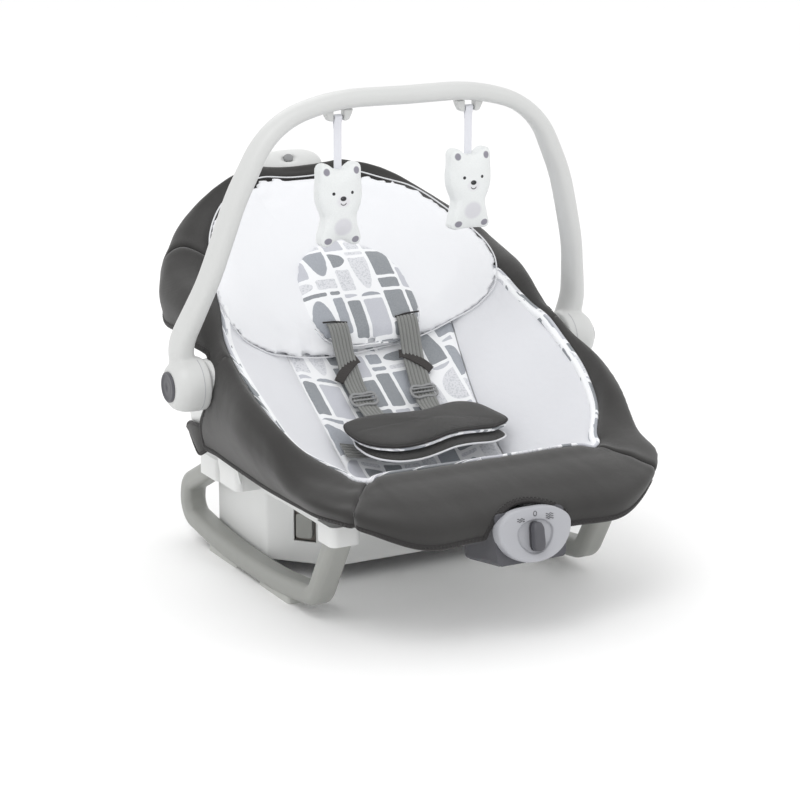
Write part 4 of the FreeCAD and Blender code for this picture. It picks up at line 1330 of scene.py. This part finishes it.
def toy_ribbon(side, sign):
    """A sewn loop round the pin, and the tail down into the bear."""
    y, z = TOY_HOOK.y / MM - SHIFT, TOY_HOOK.z / MM
    route = [(0.5, -12), (0.9, -6), (2.5, -1.6), (2.6, 1.4), (0, 2.95), (-2.6, 1.4), (-2.5, -1.6), (-0.9, -6),
             (-0.5, -12), (-0.2, -30), (0, -44), (0, -63)]
    line = curve_through([(sign * TOY_X, y + a, z + b) for a, b in route], 90)
    return fix_normals(tube("ribbon_" + side, line, oval(9.6, 1.1, 14, 0.35), up=(0, 1, 0)))


# ---------------------------------------------------------------- harness
STRAP_LINE = [           # centre line of a shoulder strap over the liner: (y, x, lift)
    (-48, 36, 20), (-34, 37, 13), (-18, 39, 8.5), (4, 42, 8.5), (16, 43, 14), (24, 44, 24), (30, 44.5, 33.5),
    (36, 45, 37.5), (40, 45.3, 35),
]
STRAP_HALF = 13.0
STRAP_THICK = 2.4
RIB_PITCH = 4.4


def ribbed_section(half):
    """(across, above) points round a strap whose top has lengthwise ribs."""
    top = [(a, STRAP_THICK - 0.45 + 0.4 * math.cos(2 * math.pi * a / RIB_PITCH + math.pi))
           for a in np.linspace(-half + 0.8, half - 0.8, 33)]
    low = STRAP_THICK * 0.4
    return [(-half, low)] + top + [(half, low), (half - 0.8, 0.0), (-half + 0.8, 0.0)]


def strap_mesh(name, centres, across, above, half=STRAP_HALF):
    """A ribbed strap along centres; across and above are unit vectors at each."""
    section = np.array(ribbed_section(half))
    rings = swept(centres, section, across, above)
    u = np.repeat(section[None, :, 0], len(centres), 0)
    v = np.repeat(run_along(centres)[:, None], len(section), 1)
    return fix_normals(skin(name, rings, uv=np.stack([u, v], -1)))


def shoulder_strap(side, sign):
    y = np.linspace(STRAP_LINE[0][0], STRAP_LINE[-1][0], 90)
    found = smooth(STRAP_LINE, y)
    centres = on_seat(sign * found[:, 0], y, found[:, 1])
    centres[:, 2] += 0.35 * ripple(y, y * 0, 60, 30)
    ahead = ahead_along(centres)
    across = unit(np.cross(ahead, np.tile((0, 0, 1.0), (len(y), 1))))
    strap = strap_mesh("harness_strap_" + side, centres, across, np.cross(across, ahead))
    finish(strap, "seat", "webbing", ["shoulder_strap_" + side])


def seat_frame(x, y, lift):
    """A place on the seat, and unit vectors across, up its slope and out of it."""
    spot = on_seat(x, y, lift)
    slope = on_seat(x, y + 4, lift) - on_seat(x, y - 4, lift)
    slope = unit(slope)
    across = np.array([1.0, 0, 0])
    return spot, across, slope, np.cross(across, slope)


def bar_loop(points, wide, deep):
    return fix_normals(tube("bar", points, oval(wide, deep, 10, 0.7), closed=True))


def strap_adjuster(sign):
    """A moulded frame with two bars that the strap is threaded through."""
    spot, across, slope, out = seat_frame(sign * 39, -18, 11.8)
    half_w, half_l = 15.5, 7.0
    corners = [(half_w, 0), (half_w, half_l - 2), (half_w - 2, half_l), (0, half_l), (2 - half_w, half_l),
               (-half_w, half_l - 2), (-half_w, 2 - half_l), (2 - half_w, -half_l), (0, -half_l),
               (half_w - 2, -half_l), (half_w, 2 - half_l)]
    outline = curve_through(corners, 64, closed=True)
    ring = bar_loop(np.array([spot + a * across + b * slope + 0.6 * out for a, b in outline]), 3.4, 2.8)
    parts = [ring]
    for b, lift in ((-1.2, 1.2), (4.0, 1.0)):
        line = [spot + a * across + b * slope + lift * out for a in np.linspace(-half_w, half_w, 12)]
        parts.append(fix_normals(tube("bar", line, oval(2.6, 2.2, 10, 0.7))))
    return parts


def keeper_line(sign):
    """A short elastic's line, which slants down across a strap."""
    line = []
    for t in np.linspace(-1, 1, 25):
        x, y = sign * (43.5 + 16.5 * t), 12.0 - 9.0 * t
        rise = 4.6 - 5.4 * abs(t) ** 3
        line.append(on_seat(x, y, float(smooth(STRAP_LINE, 12.0 - 5.0 * t)[1]) + rise))
    return np.array(line)


def flat_tube(name, line, wide, thick, out):
    """A flat band whose face looks along out."""
    line = np.asarray(line, float)
    ahead = ahead_along(line)
    out = np.broadcast_to(np.asarray(out, float), line.shape)
    across = unit(np.cross(ahead, out))
    above = np.cross(across, ahead)
    section = oval(wide, thick, 14, 0.4)
    return fix_normals(skin(name, swept(line, section, across, above)))


def strap_slot(sign):
    """The bound slot in the pillow that a strap comes out of."""
    y, lift = 38.5, 39.0
    line = [on_seat(sign * (47 + a), y + 0.6 * math.cos(a / 6), lift) for a in np.linspace(-15.5, 15.5, 18)]
    return fix_normals(tube("slot", line, oval(2.2, 2.2, 8)))


def make_harness():
    adjusters, keepers, slots = [], [], []
    for side, sign in SIDES:
        shoulder_strap(side, sign)
        adjusters += strap_adjuster(sign)
        _, _, _, out = seat_frame(sign * 42, 6, 10)
        keepers.append(flat_tube("keeper_" + side, keeper_line(sign), 11.5, 1.8, out))
        slots.append(strap_slot(sign))
    finish(joined("harness_adjusters", adjusters), "seat", "grey", ["strap_adjusters"])
    finish(joined("harness_keepers", keepers), "seat", "elastic", ["strap_loops"])
    finish(joined("strap_slot_bindings", slots), "seat", "binding")
    make_waist_straps()
    make_buckle_cover()


BUCKLE_Y = -76.0
BUCKLE_LIFT = 19.0
BUCKLE_TILT = 30.0
LAP_STRAP = [(40, 0), (60, 2), (80, 0.5), (95, -3)]      # one lap strap's line: (x, how far it drops)
CROTCH_STRAP = [(-132, 3.5), (-104, 7.0), (-98, 8.5)]    # the crotch strap's line: (y, lift)


def make_waist_straps():
    """The lap straps, and the short crotch strap up to the buckle."""
    z = float(seat_height(0, BUCKLE_Y)) + BUCKLE_LIFT
    tilt = math.radians(BUCKLE_TILT)
    tilted = np.array([0, math.cos(tilt), math.sin(tilt)])
    straps = []
    for sign in (-1, 1):
        line = curve_through([(sign * x, BUCKLE_Y, z - drop) for x, drop in LAP_STRAP], 40)
        across = np.tile(tilted, (len(line), 1))
        above = np.cross(np.tile((1.0, 0, 0), (len(line), 1)), across)
        straps.append(strap_mesh("strap", line - above * 1.2, across, above, 11.0))
    finish(joined("lap_straps", straps), "seat", "webbing", ["waist_straps"])
    y = np.linspace(-132, -98, 30)
    lift = np.interp(y, *zip(*CROTCH_STRAP))
    centres = on_seat(y * 0, y, lift)
    ahead = ahead_along(centres)
    across = np.tile((1.0, 0, 0), (len(y), 1))
    crotch = strap_mesh("crotch_webbing", centres, across, np.cross(across, ahead), 14.0)
    finish(crotch, "seat", "webbing", ["crotch_strap"])


COVER_OUTLINE = [        # the dark pad over the buckle: (x, y)
    (-96, -84), (-97, -72), (-93, -62), (-82, -59), (-54, -60), (-22, -65), (6, -66), (32, -60),
    (58, -56), (76, -60), (90, -74), (99, -92), (82, -101), (52, -106), (20, -112), (-12, -118),
    (-42, -119), (-66, -116), (-85, -106), (-93, -95),
]
COVER_Z = 180.0          # height of its top over the buckle


def cover_sheet(shift_y, drop, size):
    """Lays the cover's outline over the buckle: arched along its length, and sloping to the front."""
    def lay(points, height):
        x, y = points[:, 0] * size, (points[:, 1] + 86) * size - 86
        slope = (y + 86) * 0.34
        bend = -6.0 * (x / 95) ** 2 + 1.7 * np.sin(x / 17.0 + 0.6) * ease(-60, -100, y)
        return np.column_stack([x + 4.0, y + shift_y, COVER_Z - drop + slope + bend + height])
    return lay


def make_buckle_cover():
    lay = cover_sheet(-6.0, 0, 1.0)
    top = subdivided(stuffed_form("buckle_cover_top", COVER_OUTLINE, lay, 6.2, 2.2, 4.0, 9, 120))
    finish(top, "seat", "charcoal", ["buckle_cover_pad"])
    edge = edge_piping("buckle_cover_piping", COVER_OUTLINE, lay, 1.0, 1.5)
    finish(edge, "seat", "binding")
    lay = cover_sheet(-8.2, 4.2, 0.985)
    lining = subdivided(stuffed_form("buckle_cover_lining", COVER_OUTLINE, lay, 3.4, 2.2, 4.0, 7, 120))
    finish(lining, "seat", "trim_print")
    lay = cover_sheet(-15.5, 15.5, 0.93)
    under = subdivided(stuffed_form("buckle_cover_base", COVER_OUTLINE, lay, 4.2, 1.8, 4.0, 8, 120))
    finish(under, "seat", "charcoal")
    edge = edge_piping("buckle_cover_base_piping", COVER_OUTLINE, lay, 0.6, 1.2)
    finish(edge, "seat", "quilt_soft")


# ---------------------------------------------------------------- toy bar
BAR_TILT = 8.0
BAR_ROUTE = [            # centre line of the bar in its own plane, right half: (x, height over hub)
    (248, 14), (254, 46), (205, 210), (167, 291), (92, 316), (0, 315),
]
BAR_BENDS = [60, 240, 95, 240]           # the bend radius at each inner point of the route
BAR_SECTION = (24, 21)                   # across the bar's plane, and in it
BAR_VOXEL = 1.9
BAR_FORE = [             # height over the hub, and how far forward the bar stands
    (0, 15), (45, 5), (85, -11), (120, -24.5), (165, -33), (210, -38.5), (260, -42.5), (320, -44),
]
DRUM = [                 # the hub drum's outline: (x, radius), from its seam to its cap
    (230.6, 8), (230.6, 28.6), (231.6, 29.7), (234, 30), (249, 30), (257, 29.2), (264, 26.6), (268.5, 22.8),
    (270.8, 18.2), (270.2, 17.0), (269.4, 8),
]


def filleted(points, radii, step):
    """Points every step along straight runs joined by tangent arcs."""
    points = [np.array(p, float) for p in points]
    line = [points[0]]
    for before, corner, after, radius in zip(points, points[1:], points[2:], radii):
        back = (before - corner) / np.linalg.norm(before - corner)
        ahead = (after - corner) / np.linalg.norm(after - corner)
        half = math.acos(float(np.clip(back.dot(ahead), -1, 1))) / 2
        reach = radius / math.tan(half)
        middle = (back + ahead) / np.linalg.norm(back + ahead)
        centre = corner + middle * radius / math.sin(half)
        start, end = corner + back * reach, corner + ahead * reach
        a, b = start - centre, end - centre
        sweep = math.pi - 2 * half
        count = max(int(radius * sweep / step), 2)
        for k in range(count + 1):
            t = k / count
            line.append(centre + (a * math.sin((1 - t) * sweep) + b * math.sin(t * sweep)) / math.sin(sweep))
    line.append(points[-1])
    return curve_even(np.array(line), step)


def curve_even(line, step):
    run = run_along(line)
    wanted = np.linspace(0, run[-1], max(int(run[-1] / step), 2) + 1)
    return np.column_stack([np.interp(wanted, run, line[:, k]) for k in range(line.shape[1])])


def on_bar(x, height):
    lean = math.radians(BAR_TILT)
    z = HUB_Z + height * math.cos(lean) - 3.0 * ease(150, 300, height)
    return np.stack([x, smooth(BAR_FORE, height)[..., 0], z], -1)


def turned(name, outline, sign):
    """A lathe shape about the hub axis from (x, radius) points."""
    count = 64
    turn = np.arange(count) / count * 2 * math.pi
    rings = []
    for x, radius in outline:
        rings.append(np.column_stack([
            np.full(count, sign * x), radius * np.cos(turn), HUB_Z + radius * np.sin(turn)]))
    return fix_normals(skin(name, np.array(rings)))


def make_toy_bar():
    """One smooth moulding: the arched bar, its widening legs and the two hub drums."""
    right = filleted(BAR_ROUTE, BAR_BENDS, 6.0)
    route = np.vstack([right, (right[:-1] * (-1, 1))[::-1]])
    line = on_bar(route[:, 0], route[:, 1])
    lean = math.radians(BAR_TILT)
    fore = np.array([0, math.cos(lean), math.sin(lean)])
    ahead = ahead_along(line)
    above = np.cross(ahead, fore)
    widen = 1.08 + 0.22 * ease(305, 215, route[:, 1]) + 0.1 * ease(140, 20, route[:, 1])
    deep = 1 - 0.08 * ease(230, 300, route[:, 1]) + 0.24 * ease(120, 30, route[:, 1])
    above = above * deep[:, None]
    section = oval(*BAR_SECTION, 28, 0.78)
    rings = (line[:, None] + section[None, :, :1] * widen[:, None, None] * fore
             + section[None, :, 1:] * above[:, None])
    bar = fix_normals(skin("toy_bar_moulding", rings))
    drums = [turned("drum", DRUM, sign) for sign in (-1, 1)]
    bar = joined("toy_bar_moulding", [bar] + drums)
    remeshed(bar, BAR_VOXEL)
    smooth_shaded(bar)
    group = bar.vertex_groups.new(name="joint")
    for vertex in bar.data.vertices:
        height = vertex.co.z / MM - HUB_Z
        weight = 1.0 if 22 < height < 60 else 0.35
        group.add([vertex.index], weight, "REPLACE")
    softened(bar, 0.6, 9, "joint")
    finish(bar, "toy_bar_frame", "bar", ["toy_bar"])
    cap = [(270.0, 0.5), (272.4, 0.6), (272.3, 8), (271.9, 13.4), (272.9, 14.6), (273.2, 15.8), (272.4, 16.9),
           (270.6, 17.1), (269.5, 17.0)]
    caps = [turned("cap", cap, sign) for sign in (-1, 1)]
    finish(joined("hub_cap_discs", caps), "toy_bar_frame", "dark", ["hub_caps"])
    seam = [(239.6, 29.3), (239.7, 30.2), (240.3, 30.2), (240.4, 29.3)]
    seams = [turned("seam", seam, sign) for sign in (-1, 1)]
    finish(joined("hub_seam_rings", seams), "toy_bar_frame", "bezel")
    make_toy_brackets()


def prism(name, outline, depth, to_place):
    """A flat outline given a thickness; to_place turns (a, depth, b) into a point."""
    front = [to_place(a, -depth, b) for a, b in outline]
    back = [to_place(a, depth, b) for a, b in outline]
    return fix_normals(skin(name, np.array([front, back])))


def make_toy_brackets():
    """Under the bar over each toy: two tapered legs and the pin between them."""
    legs, pins = [], []
    y, z = TOY_HOOK.y / MM - SHIFT, TOY_HOOK.z / MM
    outline = [(6.4, 9), (17.5, 9), (15.6, 3.5), (12.4, -2.2), (9.4, -3.9), (6.4, -3.6)]
    for sign in (-1, 1):
        for way in (-1, 1):
            leg = prism("leg", outline, 5.0, lambda a, d, b: (sign * TOY_X + way * a, y + d, z + b))
            legs.append(leg)
        line = [(sign * TOY_X + a, y, z) for a in np.linspace(-8, 8, 9)]
        pins.append(fix_normals(tube("pin", line, oval(3.9, 3.9, 12))))
    finish(rounded(joined("toy_hook_legs", legs), 1.6, 4), "toy_bar_frame", "bar",
           ["toy_brackets"])
    finish(joined("toy_hook_pins", pins), "toy_bar_frame", "steel")


# ---------------------------------------------------------------- control unit
UNIT_FRONT_Y = -327.0
UNIT_Z = 117.0
UNIT_TILT = 9.0
PICK = [(0, 29), (29, 24.9), (44, 12.2), (43, -2), (32, -18.5), (16, -27.3), (0, -29.5)]
DISH = [(0, 15.5), (12.5, 13.2), (20.5, 5.0), (19.5, -5.5), (12.5, -15), (6, -19.2), (0, -20)]


def at_unit(points):
    """From (x, towards the viewer, z) about the face's middle to the frame."""
    points = np.asarray(points, float)
    tilt = math.radians(UNIT_TILT)
    x, fore, z = points[..., 0], points[..., 1], points[..., 2]
    y = -fore * math.cos(tilt) + z * math.sin(tilt)
    height = fore * math.sin(tilt) + z * math.cos(tilt)
    return np.stack([x, UNIT_FRONT_Y + y, UNIT_Z + height], -1)


def flat_ring(outline, size, fore):
    flat = curve_through(mirrored_outline(outline), 96, closed=True) * size
    return np.column_stack([flat[:, 0], np.full(len(flat), float(fore)), flat[:, 1]])


def make_control():
    """The bezel with its dish, the knob with its finger bar, and the marks."""
    rings = [flat_ring(DISH, size, 0.9) for size in (0.03, 0.4, 0.8, 0.93)]
    rings += [flat_ring(DISH, 0.985, 1.3), flat_ring(DISH, 1.0, 2.6), flat_ring(DISH, 1.03, 3.9)]
    dish, rim = flat_ring(DISH, 1.06, 0), flat_ring(PICK, 1.0, 0)
    for part in np.linspace(0, 0.93, 8):
        ring = dish + (rim - dish) * part
        ring[:, 1] = 4.3 + 1.1 * math.sin(part * 2.6)
        rings.append(ring)
    rings += [flat_ring(PICK, size, fore) for size, fore in
              ((0.97, 4.4), (0.99, 3.4), (1.0, 1.8), (1.0, -9.0), (0.985, -11.0), (0.5, -11.0))]
    bezel = fix_normals(skin("control_bezel_face", at_unit(np.array(rings))))
    finish(subdivided(bezel), "seat", "bezel", ["control_bezel"])
    make_knob()
    make_marks()


KNOB = [(0, 14.2), (4.4, 12.8), (6.2, 9.2), (6.6, 2), (6.9, -7), (6.5, -12.9), (4.3, -16.5), (0, -17.6)]


def make_knob():
    parts = []
    shape = ((1.0, 1.9), (1.0, 9.0), (0.97, 11.4), (0.9, 12.9), (0.76, 13.7), (0.5, 14.0), (0.2, 13.7),
             (0.03, 13.6))
    grip = np.array([flat_ring(KNOB, size, fore) for size, fore in shape])
    grip[:, :, 1] -= 1.5 * ease(4, 16, grip[:, :, 2]) * (grip[:, :, 1] > 10)
    parts.append(fix_normals(skin("grip", at_unit(grip))))
    shape = ((0.05, 1.5), (0.99, 1.5), (1.0, 1.8), (0.96, 2.3))
    collar = [flat_ring(KNOB, size, fore) for size, fore in shape]
    parts.append(fix_normals(skin("collar", at_unit(np.array(collar)))))
    knob = subdivided(joined("vibration_knob_grip", parts))
    finish(knob, "knob", "dark", ["vibration_knob"])


def make_marks():
    """Two waves, a nought and three waves: gentle, off and strong."""
    lines = []
    for x, z, count in ((-17.5, 17.6, 2), (17.5, 17.6, 3)):
        for k in range(count):
            level = z + (k - (count - 1) / 2) * 2.3
            lines.append([(x + a, level + 0.75 * math.sin(a * 1.35)) for a in np.linspace(-4.4, 4.4, 22)])
    lines.append([(1.9 * math.cos(t), 22.4 + 2.6 * math.sin(t)) for t in np.linspace(0, 2 * math.pi, 25)])
    parts = []
    for line in lines:
        path = at_unit(np.array([(x, 5.35, z) for x, z in line]))
        parts.append(fix_normals(tube("mark", path, oval(0.95, 0.7, 6))))
    finish(joined("control_marks", parts), "seat", "ink")


# ---------------------------------------------------------------- recline handle
HANDLE = (0, 256, 430)
HANDLE_LEAN = 28.0
PLATE = [
    (0, 11.5), (12, 11.3), (22, 10.4), (32, 7.6), (40, 3.0), (44.5, -3.5), (45, -12), (38, -20), (24, -24.5),
    (0, -25),
]


def at_handle(points):
    points = np.asarray(points, float)
    lean = math.radians(HANDLE_LEAN)
    x, fore, z = points[..., 0], points[..., 1], points[..., 2]
    y = -fore * math.cos(lean) + z * math.sin(lean)
    height = fore * math.sin(lean) + z * math.cos(lean)
    return np.stack([x + HANDLE[0], y + HANDLE[1], height + HANDLE[2]], -1)


def make_handle():
    shape = ((0.18, -0.6), (0.21, 1.6), (0.26, 2.6), (0.5, 2.9), (0.75, 2.4), (0.9, 1.4), (0.97, 0.0),
             (1.0, -2.2), (1.0, -7), (0.97, -9), (0.85, -9.6), (0.1, -9.8))
    rings = [flat_ring(PLATE, 1.0, fore) * (size, 1, size) for size, fore in shape]
    plate = fix_normals(skin("recline_handle_plate", at_handle(np.array(rings))))
    root = prism("root", [(218, 384), (262, 404), (263, 414), (252, 413), (218, 397)], 26,
                 lambda a, d, b: (d, a, b))
    handle = subdivided(joined("recline_handle_plate", [plate, rounded(root, 3)]))
    finish(handle, "seat", "white", ["recline_handle"])
    shape = ((0.04, 3.4), (0.5, 3.3), (0.8, 3.0), (0.95, 2.2), (1.0, 1.0), (1.0, -4.0), (0.6, -4.2))
    round_one = [(0, 5.4), (4.8, 3.8), (6.6, 0), (4.8, -3.8), (0, -5.4)]
    button = fix_normals(skin("recline_button_cap", at_handle(np.array(
        [flat_ring(round_one, 1.0, fore) * (size, 1, size) for size, fore in shape]))))
    finish(subdivided(button), "handle_button", "grey", ["recline_button"])


# ---------------------------------------------------------------- base
UPRIGHT_HEAD = [         # the white head behind each hub drum: (z, front y, rear y, outer x)
    (150, -15, 80, 206.5), (165, -17, 88, 207.5), (178, -18.5, 91, 209.5), (187, -19, 83, 212.5),
    (196, -20, 62, 217), (206, -22, 42, 223), (216, -24, 28, 229.4),
]
HEAD_RADIUS = 26.5


def upright_head(side, sign):
    levels = list(UPRIGHT_HEAD)
    for angle in np.linspace(-30, 88, 16):
        way = math.radians(angle)
        reach = HEAD_RADIUS * math.cos(way)
        levels.append((HUB_Z + HEAD_RADIUS * math.sin(way), -reach, reach, 229.9))
    rings = []
    for z, front, rear, outer in levels:
        flat = oval(outer - 205, rear - front, 32, 0.45) + ((outer + 205) / 2, (front + rear) / 2)
        rings.append(np.column_stack([sign * flat[:, 0], flat[:, 1], np.full(32, z)]))
    head = fix_normals(subdivided(skin("upright_head_" + side, np.array(rings))))
    finish(head, "base", "white")


FLAP = [                 # the folded end behind the opening, bottom and top edges: (y, low z, high z, x)
    (36, 147, 171, 209), (47, 139, 171, 212), (57, 135, 170.5, 213), (70, 141, 169, 212.5),
    (82, 148, 167, 211), (92, 154, 162, 209.5), (97, 156.5, 158.5, 208),
]


def make_flaps():
    """The folded fabric end behind the foot of each upright, with its dark piping."""
    for side, sign in SIDES:
        y = np.linspace(36, 97, 30)
        found = smooth(FLAP, y)
        t = np.linspace(0, 1, 10)
        z = found[:, :1] + (found[:, 1:2] - found[:, :1]) * t
        x = found[:, 2:3] + 3.2 * np.sin(t * math.pi) - 2.0 * (1 - t)
        grid = np.stack([sign * x, np.repeat(y[:, None], 10, 1), z], -1)
        flap = cloth_grid("corner_boot_" + side, grid)
        face_away(flap)
        thicken(flap, 1.8)
        finish(flap, "base", "charcoal")
        edge = np.vstack([grid[:, -1], grid[::-1, 0]])
        piping = fix_normals(tube("corner_boot_piping_" + side, edge, oval(3.4, 3.4, 8), closed=True))
        finish(piping, "base", "binding")
        if side == "left":
            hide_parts("corner_flaps")


WINDOW = (124.0, -35.0, 62.0)            # middle of a latch window, and the way that it faces
WINDOW_TURN = -42.6
TRAY = [(-13.4, -18.9), (13.4, -18.9), (13.4, 18.9), (-13.4, 18.9)]
TRAY_DEEP = 6.4                          # how far behind the wall's middle the tray stands


def make_recesses():
    """The tray behind each latch, which closes the window in the housing's wall; its grey-brown, darker than
    the housing, is painted shade in the pocket.
    """
    way = math.radians(WINDOW_TURN)
    c, s = math.cos(way), math.sin(way)
    for side, sign in SIDES:
        def in_window(a, d, b):
            d = d - TRAY_DEEP
            return (sign * (WINDOW[0] + d * c - a * s), WINDOW[1] + d * s + a * c, WINDOW[2] + b)
        tray = prism("latch_recess_" + side, TRAY, 0.6, in_window)
        finish(tray, "base", "recess")


CARRIED = {              # CAD pieces that keep their shape: node, material, rounding in millimetres
    "runner_left": ("runner", 0), "runner_right": ("runner", 0), "runner_pads": ("rubber", 0.8),
    "base_housing": ("white", 2.2), "base_bottom_cover": ("grey", 0.8), "housing_screws": ("steel", 0.3),
    "base_latch_left": ("runner", 1.2), "base_latch_right": ("runner", 1.2), "latch_springs": ("steel", 0.2),
    "side_frame_left": ("white", 2.2), "side_frame_right": ("white", 2.2), "frame_screws": ("steel", 0.3),
    "pivot_pins": ("steel", 0.4), "seat_shell": ("white", 0), "rim_tube": ("painted", 0),
    "pivot_brackets": ("steel", 0.4), "buckle_body": ("grey", 1.2), "buckle_tongues": ("grey", 0.6),
    # the control housing and the battery door take the dark plastic as painted shade under the hem
    "buckle_button": ("dark", 0.8), "control_housing": ("dark", 1.0), "rotary_switch": ("dark", 0.5),
    "circuit_board": ("board", 0.2), "motor_can": ("steel", 0.6), "motor_weight": ("steel", 0.3),
    "batteries": ("battery", 0.3), "battery_contacts": ("steel", 0.1), "battery_door": ("dark", 0.4),
    "battery_door_screw": ("steel", 0.2),
}


def dress_carried():
    for node, (material, width) in CARRIED.items():
        obj = frame["nodes"][node]
        obj.data.materials.clear()
        obj.data.materials.append(MATERIALS[material])
        if width:
            rounded(obj, width, 2)


make_camera()
make_stage()
make_surround()
make_liner()
make_soft_pieces()
make_harness()
make_toy_bar()
make_control()
make_handle()
for side, sign in SIDES:
    upright_head(side, sign)
make_flaps()
make_recesses()
dress_carried()
